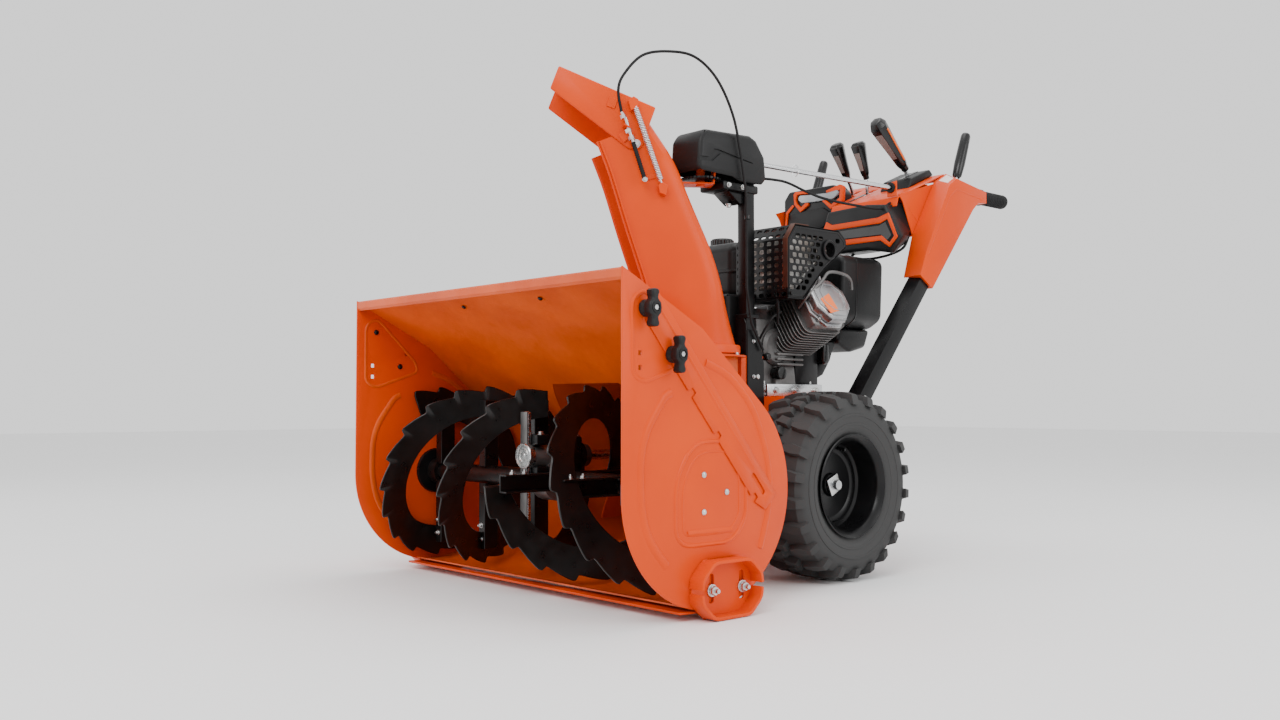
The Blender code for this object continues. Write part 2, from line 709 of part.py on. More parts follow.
def build_frame():
    """Tractor box that carries the engine, with the belt housing on its front."""
    half, block_half = FRAME_HALF_WIDTH, BLOCK_HALF_WIDTH
    wall = 0.0035
    frame = block("tractor_frame", paint_finish(), (-half, FRAME_STEP_Y, 0.105), (half, FRAME_BACK_Y, FRAME_TOP))
    front = block("belt_box_guide", paint_finish(), (-block_half, FRAME_FRONT_Y, 0.120),
                  (block_half, FRAME_STEP_Y + OVERLAP, BLOCK_TOP))
    weld(frame, front)
    cut(
        frame,
        block("belt_box_cutter", paint_finish(), (-block_half + wall, FRAME_FRONT_Y + wall, 0.120 + wall),
              (block_half - wall, 0.735, BLOCK_TOP - wall)),
        block("belt_slot_cutter", paint_finish(), (-0.070, 0.648, 0.475), (0.070, 0.704, 0.495)),
        block("frame_cutter", paint_finish(), (-half + wall, FRAME_STEP_Y + wall, 0.050),
              (half - wall, FRAME_BACK_Y - wall, FRAME_TOP - wall)),
        rod("frame_shaft_cutter", paint_finish(), (0, 0.63, WORM_Z), (0, 0.66, WORM_Z), 0.0125, 16),
        rod("frame_axle_cutter", paint_finish(), (-0.21, AXLE_Y, AXLE_Z), (0.21, AXLE_Y, AXLE_Z), 0.0140, 16),
    )
    cover = block("belt_cover", plastic_finish(), (-0.086, 0.6405, BLOCK_TOP + GAP), (0.086, 0.7120, 0.630), 0.006)
    hollow = block("belt_cover_cutter", plastic_finish(), (-0.0825, 0.6440, 0.470), (0.0825, 0.7300, 0.6265))
    cut(cover, hollow)


def pulley(name, z, radius, pivot):
    """Grooved belt wheel on a shaft along Y."""
    profile = [
        (radius, 0.658), (radius - 0.010, 0.667), (radius - 0.010, 0.671), (radius, 0.680),
        (0.0105 + GAP, 0.680), (0.0105 + GAP, 0.658),
    ]
    return turned_ring(name, cast_finish(), "Y", (0, z), profile, 24, pivot)


def build_belt_drive():
    """Pulleys on the engine and impeller, and the belt round them."""
    small, large = 0.034, 0.072
    pulley("impeller_pulley", WORM_Z, large, (0, 0.669, WORM_Z))
    crank = pulley("crank_pulley", CRANK_Z + 0.030, small, (0, 0.669, CRANK_Z + 0.030))
    weld(crank, rod("crank_stub_guide", cast_finish(), (0, 0.655, CRANK_Z + 0.030),
                    (0, 0.7200, CRANK_Z + 0.030), 0.0115, 16))
    low, high = Vector((0, WORM_Z)), Vector((0, CRANK_Z + 0.030))
    lean = math.asin((large - small) / (high - low).length)
    path = arc(low, large + 0.004, math.pi - lean, math.tau + lean)
    path += arc(high, small + 0.004, lean, math.pi - lean)
    outline = offset_path(path, -0.0040, closed=True)
    belt = prism("drive_belt", rubber_finish(), "Y", outline, 0.665, 0.673)
    cut(belt, prism("belt_cutter", rubber_finish(), "Y", offset_path(path, 0.0035, closed=True), 0.66, 0.68))


def build_wheels():
    """Axle, deep rims and tyres. The left wheel drives the axle, the right turns on it."""
    rod("axle", steel_finish(), (-0.320, AXLE_Y, AXLE_Z), (0.320, AXLE_Y, AXLE_Z), 0.0125, 16,
        pivot=(0.290, AXLE_Y, AXLE_Z))
    rim = [
        (0.0135, 0.312), (0.024, 0.312), (0.026, 0.3035), (0.0955, 0.3035), (0.0965, 0.361),
        (0.1085, 0.3705), (0.1108, 0.3690), (0.0990, 0.3580), (0.0990, 0.2250), (0.1108, 0.2140),
        (0.1085, 0.2115), (0.0955, 0.2225), (0.0955, 0.3000), (0.026, 0.3000), (0.024, 0.268), (0.0135, 0.268),
    ]
    tyre = [
        (0.0996, 0.2270), (0.1120, 0.2190), (0.1250, 0.2110), (0.1500, 0.2060), (0.1850, 0.2080),
        (TYRE_RADIUS, 0.2220), (TYRE_RADIUS, 0.3600), (0.1850, 0.3740), (0.1500, 0.3760),
        (0.1250, 0.3710), (0.1120, 0.3630), (0.0996, 0.3560),
    ]
    for side, sign in SIDES.items():
        pivot = (sign * 0.290, AXLE_Y, AXLE_Z)
        for name, material, profile in (
            (side + "_rim", black_paint_finish(), rim), (side + "_tyre", rubber_finish(), tyre),
        ):
            shape = [(radius, sign * x) for radius, x in profile]
            turned_ring(name, material, "X", (AXLE_Y, AXLE_Z), shape, WHEEL_STEPS, pivot)


def tilted_block(name, material, low, high, bevel=0.0):
    """A box drawn along the cylinder's own axis, then tilted up to the left."""
    outline = [(low[0], low[1]), (high[0], low[1]), (high[0], high[1]), (low[0], high[1])]
    bm = prism_mesh("Z", outline, low[2], high[2])
    if bevel:
        edges = [e for e in bm.edges if abs((e.verts[0].co - e.verts[1].co).x) > 1e-4]
        bmesh.ops.bevel(bm, geom=edges, offset=bevel, segments=1, affect="EDGES")
    obj = add_object(name, bm, material)
    obj.location = (0, CYLINDER_Y, CRANK_Z)
    obj.rotation_euler = (0, -CYLINDER_TILT, 0)
    return obj


def build_engine():
    """Single cylinder engine, crank along Y, cylinder tilted up to the left."""
    outline = [(-0.100, FRAME_TOP + GAP), (0.100, FRAME_TOP + GAP), (0.100, 0.575), (0.072, 0.603),
               (-0.060, 0.603), (-0.100, 0.560)]
    case = prism("crankcase", cast_finish(), "Y", outline, 0.722, 0.930)
    cut(case, tilted_block("cylinder_seat_cutter", cast_finish(), (0.1095, -0.07, -0.07), (0.2, 0.07, 0.12)))
    cylinder = tilted_block("cylinder", cast_finish(), (0.110, -0.048, -0.046), (0.214, 0.048, 0.046))
    fins = 7
    for k in range(fins):
        x = 0.116 + 0.0118 * k
        weld(cylinder, tilted_block(f"fin_guide_{k}", cast_finish(), (x, -0.060, -0.056), (x + 0.004, 0.060, 0.056), 0.018))
    cover = [(math.cos(a) * 0.050, math.sin(a) * 0.050) for a in [math.tau * k / 8 for k in range(8)]]
    bm = prism_mesh("X", cover, 0.2145, 0.2520)
    bmesh.ops.bevel(
        bm, geom=[e for e in bm.edges if min(v.co.x for v in e.verts) > 0.25], offset=0.008, segments=1,
        affect="EDGES",
    )
    lid = add_object("valve_cover", bm, steel_finish())
    lid.location = (0, CYLINDER_Y, CRANK_Z)
    lid.rotation_euler = (0, -CYLINDER_TILT, 0)

    guard = [(0.716, 0.752), (0.742, 0.786), (0.900, 0.786), (0.926, 0.764), (0.926, 0.748), (0.846, 0.690),
             (0.770, 0.618), (0.716, 0.618)]
    shell = prism("muffler_guard", black_paint_finish(), "X", guard, 0.042, 0.200)
    inner = offset_path(guard, -SHEET, closed=True)
    cut(shell, prism("guard_cutter", black_paint_finish(), "X", inner, 0.030, 0.197))

    block("fuel_tank", plastic_finish(), (-0.235, 0.722, 0.622), (0.034, 0.930, 0.765), 0.020)
    rod("fuel_cap", plastic_finish(), (-0.110, 0.826, 0.7654), (-0.110, 0.826, 0.792), 0.030, 20,
        pivot=(-0.110, 0.826, 0.7654))

    cup = [(0.098, 0.9308), (0.098, 0.966), (0.086, 0.980), (0.012, 0.980), (0.012, 0.976), (0.084, 0.976),
           (0.094, 0.965), (0.094, 0.9308)]
    starter = turned_ring("recoil_cover", plastic_finish(), "Y", (0, CRANK_Z), cup, 28)
    cut(starter, rod("rope_hole_cutter", plastic_finish(), (0.08, 0.952, CRANK_Z), (0.12, 0.952, CRANK_Z), 0.005, 12))
    grip_start = (0.101, 0.952, CRANK_Z)
    grip = rod("recoil_handle", rubber_finish(), (0.110, 0.952, CRANK_Z - 0.026),
               (0.110, 0.952, CRANK_Z + 0.026), 0.009, 12, pivot=grip_start)
    weld(grip, rod("starter_rope_guide", rubber_finish(), (-0.060, 0.952, CRANK_Z), (0.108, 0.952, CRANK_Z), 0.0026, 8))

    intake = [(-0.080, 0.566), (0.100, 0.566), (0.140, 0.590), (0.146, 0.735), (0.120, 0.748), (-0.110, 0.748),
              (-0.110, 0.600)]
    prism("intake_cover", plastic_finish(), "Y", intake, 0.986, 1.150)


def build_handle(side, sign):
    """Square tube, its side cover, the grip and the clutch lever above it."""
    tube_path = [(0.905, 0.3705), (1.3745, 0.9245), (1.392, 0.9245)]
    low, high = sorted((sign * (TUBE_X - TUBE / 2), sign * (TUBE_X + TUBE / 2)))
    tube = prism(side + "_handle_tube", black_paint_finish(), "X", sheet_outline(tube_path, TUBE), low, high)
    bar = rod(side + "_grip_bar_guide", black_paint_finish(), (sign * GRIP_X, 1.380, GRIP_Z),
              (sign * GRIP_X, 1.548, GRIP_Z), 0.0125, 16)
    foot_low = (min(sign * (FRAME_HALF_WIDTH + GAP), sign * 0.222), 0.900, 0.345)
    foot_high = (max(sign * (FRAME_HALF_WIDTH + GAP), sign * 0.222), 0.960, 0.393)
    foot = block(side + "_tube_foot_guide", black_paint_finish(), foot_low, foot_high)
    weld(tube, bar, foot)
    grip = [
        (0.0170, 1.4400), (0.0185, 1.4500), (0.0170, 1.4600), (0.0170, 1.5520), (0.0130, LENGTH),
        (0.0040, LENGTH), (0.0040, 1.5500), (0.0125 + GAP, 1.5500), (0.0125 + GAP, 1.4400),
    ]
    turned_ring(side + "_grip", rubber_finish(), "Y", (sign * GRIP_X, GRIP_Z), grip, 20)

    inner = [(1.150, 0.694), (1.187, 0.664), (1.374, 0.881), (1.406, 0.899), (1.438, 0.904), (1.438, 0.942),
             (1.338, 0.979), (1.284, 0.950), (1.186, 0.800)]
    outer = [(1.136, 0.694), (1.188, 0.664), (1.374, 0.881), (1.400, 0.902), (1.438, 0.905), (1.438, 0.934),
             (1.300, 0.953), (1.268, 0.933), (1.166, 0.760)]
    inner_x, outer_x = 0.2055, 0.2640
    gusset = add_object(side + "_gusset", loft_mesh(inner, sign * inner_x, outer, sign * outer_x), paint_finish())
    hollow = loft_mesh(
        offset_path(inner, 0.0035, closed=True), sign * (inner_x - 0.012),
        offset_path(outer, 0.0035, closed=True), sign * (outer_x - 0.0035),
    )
    cut(
        gusset,
        add_object(side + "_gusset_cutter", hollow, paint_finish()),
        prism(side + "_gusset_tube_cutter", paint_finish(), "X", sheet_outline(tube_path, TUBE + 0.002),
              *sorted((sign * 0.19, sign * (TUBE_X + TUBE / 2 + 0.001)))),
        rod(side + "_gusset_bar_cutter", paint_finish(), (sign * GRIP_X, 1.40, GRIP_Z),
            (sign * GRIP_X, 1.45, GRIP_Z), 0.0140, 16),
        block(side + "_gusset_slot_cutter", paint_finish(), (sign * GRIP_X - 0.014, 1.316, 0.932),
              (sign * GRIP_X + 0.014, 1.418, 1.0)),
    )
    pivot = (sign * GRIP_X, 1.338, 0.958)
    lever = rod(side + "_clutch_lever", plastic_finish(), (sign * GRIP_X, 1.340, 0.964),
                (sign * GRIP_X, 1.388, 1.086), 0.0120, 12, 0.0100, pivot)
    weld(lever, rod(side + "_clutch_pin_guide", plastic_finish(), (sign * GRIP_X - 0.011, 1.338, 0.958),
                    (sign * GRIP_X + 0.011, 1.338, 0.958), 0.0080, 12))


def build_lever(name, x, pivot_y, knee, tip, size):
    """Steel stem that comes through the dash, with a moulded grip."""
    pivot = (x, pivot_y, 0.925)
    lever = rod(name, plastic_finish(), (x, *knee), (x, *tip), 0.011 * size, 8, 0.0165 * size, pivot)
    beyond = (x, knee[0] + (tip[0] - knee[0]) * 0.2, knee[1] + (tip[1] - knee[1]) * 0.2)
    weld(lever, rod(name + "_stem_guide", steel_finish(), pivot, beyond, 0.0045, 10))


def build_dash():
    """Sloping panel between the handles, the black fascia under it and the lamp."""
    path = [(1.124, 0.870), (1.132, 0.893), (1.250, 0.942), (1.332, 0.976), (1.344, 0.962)]
    half = 0.2050
    dash = prism("dash_panel", paint_finish(), "X", sheet_outline(path, SHEET), -half, half)
    cut(
        dash,
        block("lamp_cutter", paint_finish(), (-0.2060, 1.05, 0.85), (-0.004, 1.229, 1.0)),
        block("speed_slot_cutter", paint_finish(), (0.118, 1.235, 0.90), (0.142, 1.318, 1.0)),
        block("deflector_slot_cutter", paint_finish(), (0.020, 1.210, 0.90), (0.040, 1.272, 1.0)),
        block("chute_slot_cutter", paint_finish(), (-0.045, 1.230, 0.90), (-0.025, 1.292, 1.0)),
    )
    build_lever("speed_lever", 0.130, 1.300, (1.262, 0.998), (1.140, 1.098), 1.0)
    build_lever("deflector_lever", 0.030, 1.240, (1.232, 0.984), (1.196, 1.070), 0.8)
    build_lever("chute_lever", -0.035, 1.262, (1.236, 0.990), (1.186, 1.074), 0.8)
    block("front_fascia", plastic_finish(), (-0.0060, 1.100, 0.757), (0.2000, 1.190, 0.864), 0.014)
    block("headlamp_pod", plastic_finish(), (-0.2000, 1.165, 0.820), (-0.010, 1.225, 0.962), 0.012)


def build():
    clear_scene()
    machine = bpy.data.objects.new("machine", None)
    machine.location = (0, -LENGTH / 2, 0)
    bpy.context.scene.collection.objects.link(machine)

    build_housing()
    for side, sign in SIDES.items():
        build_skid_shoe(side, sign)
        build_drift_cutter(side, sign)
        build_knob(side, sign, "upper", 0.048, 0.541)
        build_knob(side, sign, "lower", 0.110, 0.464)
        build_handle(side, sign)
    build_auger()
    build_gearcase()
    build_impeller()
    build_impeller_housing()
    build_chute()
    build_cable(build_deflector())
    build_chute_drive()
    build_frame()
    build_belt_drive()
    build_wheels()
    build_engine()
    build_dash()
    for obj in bpy.data.objects:
        if obj.type == "MESH":
            obj.data.shade_smooth()
            obj.data.set_sharp_from_angle(angle=math.radians(30))


build()
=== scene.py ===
"""Looks of a two stage snowblower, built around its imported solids.

Lengths are in metres. Shapes are drawn from a datum at the front edge of the
auger housing, as the solids were, and add_piece moves each one to the machine's
own frame. +X is the machine's left, +Y points to the operator and +Z is up.
"""

from __future__ import annotations

import logging
import math
from dataclasses import dataclass
from enum import Enum

import bmesh
import bpy
from mathutils import Matrix, Vector

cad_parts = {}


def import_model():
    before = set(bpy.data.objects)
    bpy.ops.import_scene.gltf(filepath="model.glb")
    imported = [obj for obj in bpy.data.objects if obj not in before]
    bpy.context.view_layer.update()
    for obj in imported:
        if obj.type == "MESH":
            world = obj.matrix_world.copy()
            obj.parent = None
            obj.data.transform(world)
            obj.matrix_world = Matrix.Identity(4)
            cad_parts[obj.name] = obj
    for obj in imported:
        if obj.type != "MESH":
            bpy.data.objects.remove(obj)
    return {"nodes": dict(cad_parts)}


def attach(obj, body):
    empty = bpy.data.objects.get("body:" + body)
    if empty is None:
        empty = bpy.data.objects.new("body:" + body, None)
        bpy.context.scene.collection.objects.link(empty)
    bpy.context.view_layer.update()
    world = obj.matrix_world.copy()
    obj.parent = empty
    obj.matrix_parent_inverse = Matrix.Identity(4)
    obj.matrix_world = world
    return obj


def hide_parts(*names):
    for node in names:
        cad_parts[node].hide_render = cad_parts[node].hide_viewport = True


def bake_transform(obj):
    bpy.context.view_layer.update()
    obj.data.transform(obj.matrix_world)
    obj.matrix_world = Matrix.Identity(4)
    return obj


LOG = logging.getLogger("snowblower")

Point = tuple[float, float, float]
Pair = tuple[float, float]
Colour = tuple[float, float, float, float]

HALF_LENGTH = 0.780
SIDES = {"left": 1.0, "right": -1.0}
AXES = {"X": (1, 2, 0), "Y": (0, 2, 1), "Z": (0, 1, 2)}
AUGER = (0.208, 0.222)
WORM_Z = 0.270
AXLE = (0.731, 0.203)
PLATE_X = 0.457
CHUTE_PLACE = (0.090, 0.550)
CHUTE_TURN = math.radians(-36)
CRANK = (0.0, 0.855, 0.500)
CYLINDER_TILT = math.radians(30)
HANDLE_X = 0.237
WHEEL_X = 0.291
CABLE_RADIUS = 0.0031
CHUTE_FRAME = Matrix.Translation((*CHUTE_PLACE, 0)) @ Matrix.Rotation(CHUTE_TURN, 4, "Z")
CYLINDER_FRAME = Matrix.Translation(CRANK) @ Matrix.Rotation(-CYLINDER_TILT, 4, "Y")


class Body(str, Enum):
    """The rigid bodies that pieces ride on."""

    MACHINE = "machine"
    AUGER = "auger"
    IMPELLER = "impeller_set"
    PULLEY = "engine_pulley"
    LEFT_WHEEL = "left_wheel"
    RIGHT_WHEEL = "right_wheel"
    CHUTE = "turning_chute"
    HOOD = "hood"
    ROD = "turning_rod"
    SPEED = "speed_control"
    HOOD_LEVER = "hood_control"
    CHUTE_LEVER = "chute_control"
    LEFT_CLUTCH = "left_clutch"
    RIGHT_CLUTCH = "right_clutch"
    CAP = "tank_cap"
    STARTER = "starter_grip"
    LEFT_UPPER_NUT = "left_upper_nut"
    LEFT_LOWER_NUT = "left_lower_nut"
    RIGHT_UPPER_NUT = "right_upper_nut"
    RIGHT_LOWER_NUT = "right_lower_nut"


class Relief(Enum):
    """How a surface is broken up: its noise, or the marks of how it was made."""

    GRAIN = "grain"
    BRUSHED = "brushed"
    CAST = "cast"


@dataclass(frozen=True)
class Finish:
    """A surface finish: two colours that drift into each other, gloss and a fine relief.

    Args:
        name: The material's name.
        slot: The record's material slot; not used.
        colour: Main colour.
        shade: Colour that the drift mixes in.
        rough: Lowest and highest roughness.
        metallic: 0 for paint, plastic and rubber, 1 for metal.
        coat: Weight of a clear coat.
        drift: Scale of the colour drift.
        grain: Scale of the relief.
        bump: Strength of the relief.
        relief: Kind of relief.
        gleam: Strength of the mirror part of the surface.
    """

    name: str
    slot: str
    colour: Colour
    shade: Colour
    rough: Pair
    metallic: float = 0.0
    coat: float = 0.0
    drift: float = 7.0
    grain: float = 900.0
    bump: float = 0.08
    relief: Relief = Relief.GRAIN
    gleam: float = 0.5

    def material(self) -> bpy.types.Material:
        """Make the material, or return the one already made."""
        made = bpy.data.materials.get(self.name)
        if made:
            return made
        made = bpy.data.materials.new(self.name)
        made.use_nodes = True
        nodes, links = made.node_tree.nodes, made.node_tree.links
        shader = nodes["Principled BSDF"]
        shader.inputs["Metallic"].default_value = self.metallic
        shader.inputs["Coat Weight"].default_value = self.coat
        shader.inputs["Specular IOR Level"].default_value = self.gleam
        shader.inputs["Coat Roughness"].default_value = 0.18
        place = nodes.new("ShaderNodeTexCoord")
        stretch = nodes.new("ShaderNodeMapping")
        stretch.inputs["Scale"].default_value = (1, 1, 14) if self.relief is Relief.BRUSHED else (1, 1, 1)
        links.new(place.outputs["Object"], stretch.inputs["Vector"])

        def noise(scale: float, detail: float) -> bpy.types.ShaderNode:
            """A noise texture on the piece's own coordinates."""
            made_noise = nodes.new("ShaderNodeTexNoise")
            made_noise.inputs["Scale"].default_value = scale
            made_noise.inputs["Detail"].default_value = detail
            links.new(stretch.outputs["Vector"], made_noise.inputs["Vector"])
            return made_noise

        drift = noise(self.drift, 5.0)
        tint = nodes.new("ShaderNodeValToRGB")
        tint.color_ramp.elements[0].position = 0.34
        tint.color_ramp.elements[0].color = self.shade
        tint.color_ramp.elements[1].position = 0.66
        tint.color_ramp.elements[1].color = self.colour
        links.new(drift.outputs["Fac"], tint.inputs["Fac"])
        links.new(tint.outputs["Color"], shader.inputs["Base Color"])
        smear = noise(self.drift * 4.3, 3.0)
        gloss = nodes.new("ShaderNodeMapRange")
        gloss.inputs["From Min"].default_value = 0.3
        gloss.inputs["From Max"].default_value = 0.7
        gloss.inputs["To Min"].default_value = self.rough[0]
        gloss.inputs["To Max"].default_value = self.rough[1]
        links.new(smear.outputs["Fac"], gloss.inputs["Value"])
        links.new(gloss.outputs["Result"], shader.inputs["Roughness"])
        height = noise(self.grain, 2.0 if self.relief is Relief.GRAIN else 6.0)
        bump = nodes.new("ShaderNodeBump")
        bump.inputs["Strength"].default_value = self.bump
        bump.inputs["Distance"].default_value = 0.0016 if self.relief is Relief.CAST else 0.0005
        links.new(height.outputs["Fac"], bump.inputs["Height"])
        links.new(bump.outputs["Normal"], shader.inputs["Normal"])
        return made


PAINT = Finish("orange_powder_coat", "orange_paint", (0.68, 0.058, 0.0, 1), (0.63, 0.050, 0.0, 1),
               (0.30, 0.40), coat=0.05, grain=1400, bump=0.05, gleam=0.14)
# Painted shade: a duller copy of the orange paint for surfaces inside the housing and drum, standing in for
# the shade that falls there.
SHADED_INSIDE_PAINT = Finish("orange_inside_painted_shade", "shaded_orange_paint", (0.70, 0.095, 0.008, 1), (0.55, 0.066, 0.006, 1),
               (0.36, 0.48), coat=0.05, grain=1200, bump=0.07, gleam=0.2)
SATIN = Finish("black_powder_coat", "black_paint", (0.0045, 0.0045, 0.0050, 1), (0.0030, 0.0030, 0.0034, 1),
               (0.26, 0.38), grain=1500, bump=0.08, gleam=0.26)
STEEL_BAND = Finish("auger_black", "black_paint", (0.0035, 0.0032, 0.0032, 1), (0.0070, 0.0048, 0.0042, 1),
                    (0.26, 0.42), drift=11, grain=700, bump=0.12, gleam=0.36)
PLASTIC = Finish("moulded_black", "black_plastic", (0.0095, 0.0097, 0.0100, 1), (0.0075, 0.0077, 0.0080, 1),
                 (0.38, 0.48), grain=2600, bump=0.16, gleam=0.24)
GLOSS = Finish("smooth_black", "black_plastic", (0.0050, 0.0050, 0.0054, 1), (0.0038, 0.0038, 0.0040, 1),
               (0.20, 0.28), grain=1200, bump=0.03, gleam=0.42)
INLAY = Finish("grip_inlay", "black_plastic", (0.20, 0.165, 0.15, 1), (0.16, 0.132, 0.12, 1), (0.62, 0.75),
               grain=2400, bump=0.35)
RUBBER = Finish("soft_rubber", "rubber", (0.0070, 0.0070, 0.0074, 1),
                (0.0100, 0.0100, 0.0104, 1), (0.55, 0.68),
                grain=2000, bump=0.2, gleam=0.22)
TYRE = Finish("tyre_rubber", "tyre_rubber", (0.0075, 0.0075, 0.0078, 1),
              (0.0125, 0.0122, 0.0120, 1), (0.48, 0.66),
              drift=9, grain=1100, bump=0.22, gleam=0.24)
ZINC = Finish("zinc_plate", "zinc_plated_steel", (0.66, 0.66, 0.64, 1), (0.50, 0.51, 0.52, 1), (0.22, 0.36),
              metallic=1, drift=60, grain=1800, bump=0.06)
BRIGHT = Finish("bright_steel", "zinc_plated_steel", (0.72, 0.73, 0.74, 1), (0.60, 0.61, 0.62, 1),
                (0.18, 0.30), metallic=1, drift=20, grain=900, bump=0.06, relief=Relief.BRUSHED)
CAST = Finish("cast_grey", "cast_aluminium", (0.175, 0.172, 0.170, 1), (0.105, 0.100, 0.098, 1), (0.36, 0.52),
              metallic=0.8, drift=16, grain=420, bump=0.30, relief=Relief.CAST)
CAST_LIGHT = Finish("cast_bright", "cast_aluminium", (0.42, 0.42, 0.42, 1), (0.30, 0.30, 0.31, 1),
                    (0.26, 0.38), metallic=0.95, drift=20, grain=600, bump=0.2, relief=Relief.CAST)
# Painted highlight: a reddish-brown, much lighter than the black paint, for the thin strip along the muffler
# guard's front and top edges.
PAINTED_EDGE_HIGHLIGHT = Finish("guard_edge_painted_highlight", "black_paint", (0.10, 0.030, 0.014, 1), (0.030, 0.014, 0.010, 1),
                (0.34, 0.50), metallic=0.5, drift=14, grain=900, bump=0.1)
MUFFLER = Finish("muffler_steel", "zinc_plated_steel", (0.62, 0.61, 0.59, 1), (0.36, 0.30, 0.26, 1),
                 (0.28, 0.44), metallic=1, drift=13, grain=500, bump=0.15, relief=Relief.CAST)
LENS = Finish("lamp_lens", "black_plastic", (0.28, 0.30, 0.32, 1), (0.10, 0.11, 0.12, 1), (0.08, 0.14),
              coat=1.0, drift=12, grain=300, bump=0.05)
# Painted reflection: a pale pink colour for thin patches on the tops beside the dash, where light reflects.
PAINTED_REFLECTION = Finish("dash_top_painted_reflection", "black_plastic", (0.90, 0.74, 0.70, 1), (0.80, 0.62, 0.58, 1),
                   (0.20, 0.28), coat=0.6, drift=90, grain=1600, bump=0.3)
LABEL = Finish("orange_label", "orange_paint", (0.86, 0.17, 0.022, 1), (0.80, 0.145, 0.018, 1), (0.38, 0.46),
               grain=1800, bump=0.05)
FLOOR = Finish("pale_floor", "black_plastic", (0.88, 0.88, 0.88, 1), (0.87, 0.87, 0.87, 1), (0.75, 0.85),
               drift=0.6, grain=60, bump=0.01)


# ----------------------------------------------------------------- flat outlines and paths


def arc(centre: Pair, radius: float, start: float, end: float, step: float = 5.0) -> list[Pair]:
    """Points of a circle from one angle to another, in degrees, both included."""
    count = max(2, round(abs(end - start) / step))
    turns = [math.radians(start + (end - start) * k / count) for k in range(count + 1)]
    return [(centre[0] + radius * math.cos(a), centre[1] + radius * math.sin(a)) for a in turns]


def rounded(points: list[Pair], radius: float, closed: bool = True, steps: int = 5) -> list[Pair]:
    """Round each corner of a path.

    Args:
        points: The path's corners.
        radius: How far from a corner its curve begins.
        closed: Whether the last point runs on to the first.
        steps: Pieces in each curve.
    """
    made: list[Pair] = []
    count = len(points)
    for i, point in enumerate(points):
        if not closed and i in (0, count - 1):
            made.append(point)
            continue
        here = Vector(point)
        before, after = Vector(points[i - 1]) - here, Vector(points[(i + 1) % count]) - here
        reach = min(radius, before.length * 0.48, after.length * 0.48)
        first, last = here + before.normalized() * reach, here + after.normalized() * reach
        for k in range(steps + 1):
            t = k / steps
            made.append(tuple(first * (1 - t) ** 2 + here * 2 * t * (1 - t) + last * t * t))
    return made


def offset_path(points: list[Pair], distance: float, closed: bool = False) -> list[Pair]:
    """Move a path sideways, to its left, with mitred corners."""
    count = len(points)
    moved = []
    for i, point in enumerate(points):
        here = Vector(point)
        normals = []
        if i or closed:
            run = (here - Vector(points[i - 1])).normalized()
            normals.append(Vector((-run.y, run.x)))
        if i < count - 1 or closed:
            run = (Vector(points[(i + 1) % count]) - here).normalized()
            normals.append(Vector((-run.y, run.x)))
        middle = sum(normals, Vector((0, 0))).normalized()
        moved.append(tuple(here + middle * (distance / max(middle.dot(normals[0]), 0.3))))
    return moved


def sheet_outline(path: list[Pair], thickness: float) -> list[Pair]:
    """Closed outline of a bent sheet whose middle line is the path."""
    return offset_path(path, thickness / 2) + offset_path(path, -thickness / 2)[::-1]


def smooth_route(points: list[Point], steps: int = 4) -> list[Vector]:
    """Points of a Catmull-Rom curve through the given ones."""
    known = [Vector(p) for p in points]
    padded = [known[0] * 2 - known[1]] + known + [known[-1] * 2 - known[-2]]
    route = []
    for a, b, c, d in zip(padded, padded[1:], padded[2:], padded[3:]):
        for k in range(steps):
            t = k / steps
            route.append(b + (c - a) * (t / 2) + (a * 2 - b * 5 + c * 4 - d) * (t * t / 2)
                         + (b * 3 - a - c * 3 + d) * (t ** 3 / 2))
    return route + [known[-1]]


# ------------------------------------------------------------------------------ solids


def grid(rows: list[list[Vector]], wrap_rows: bool, wrap: bool, caps: bool) -> bmesh.types.BMesh:
    """Join rows of points into a skin.

    Args:
        rows: Rows with equal numbers of points.
        wrap_rows: Whether the last row joins the first.
        wrap: Whether each row is a closed loop.
        caps: Whether the first and last rows are filled.
    """
    bm = bmesh.new()
    verts = [[bm.verts.new(p) for p in row] for row in rows]
    count, wide = len(rows), len(rows[0])
    for i in range(count if wrap_rows else count - 1):
        here, there = verts[i], verts[(i + 1) % count]
        for k in range(wide if wrap else wide - 1):
            j = (k + 1) % wide
            bm.faces.new((here[k], here[j], there[j], there[k]))
    if caps:
        bm.faces.new(verts[0][::-1])
        bm.faces.new(verts[-1])
    return bm


def place(axis: str, first: float, second: float, along: float) -> Vector:
    """A point given by its two flat coordinates and its place along an axis."""
    made = Vector((0, 0, 0))
    one, two, three = AXES[axis]
    made[one], made[two], made[three] = first, second, along
    return made


def prism(axis: str, outline: list[Pair], low: float, high: float) -> bmesh.types.BMesh:
    """Extrude a flat outline along an axis. X takes (y, z), Y (x, z) and Z (x, y)."""
    return grid([[place(axis, a, b, end) for a, b in outline] for end in (low, high)], False, True, True)


def box(low: Point, high: Point) -> bmesh.types.BMesh:
    """A box between two corners."""
    return prism("Z", [(low[0], low[1]), (high[0], low[1]), (high[0], high[1]), (low[0], high[1])],
                 low[2], high[2])


def lathe(axis: str, centre: Pair, profile: list[Pair], steps: int = 48) -> bmesh.types.BMesh:
    """Turn a closed profile of (radius, place along the axis) about an axis through centre."""
    rows = []
    for k in range(steps):
        turn = math.tau * k / steps
        rows.append([place(axis, centre[0] + r * math.cos(turn), centre[1] + r * math.sin(turn), reach)
                     for r, reach in profile])
    return grid(rows, True, True, False)


def rod(start: Point, end: Point, radius: float, steps: int = 20, end_radius: float | None = None,
        ) -> bmesh.types.BMesh:
    """A round bar or cone between two points."""
    first, last = Vector(start), Vector(end)
    bm = bmesh.new()
    turn = (last - first).to_track_quat("Z", "Y").to_matrix().to_4x4()
    bmesh.ops.create_cone(bm, cap_ends=True, segments=steps, radius1=radius,
                          radius2=radius if end_radius is None else end_radius,
                          depth=(last - first).length, matrix=Matrix.Translation((first + last) / 2) @ turn)
    return bm


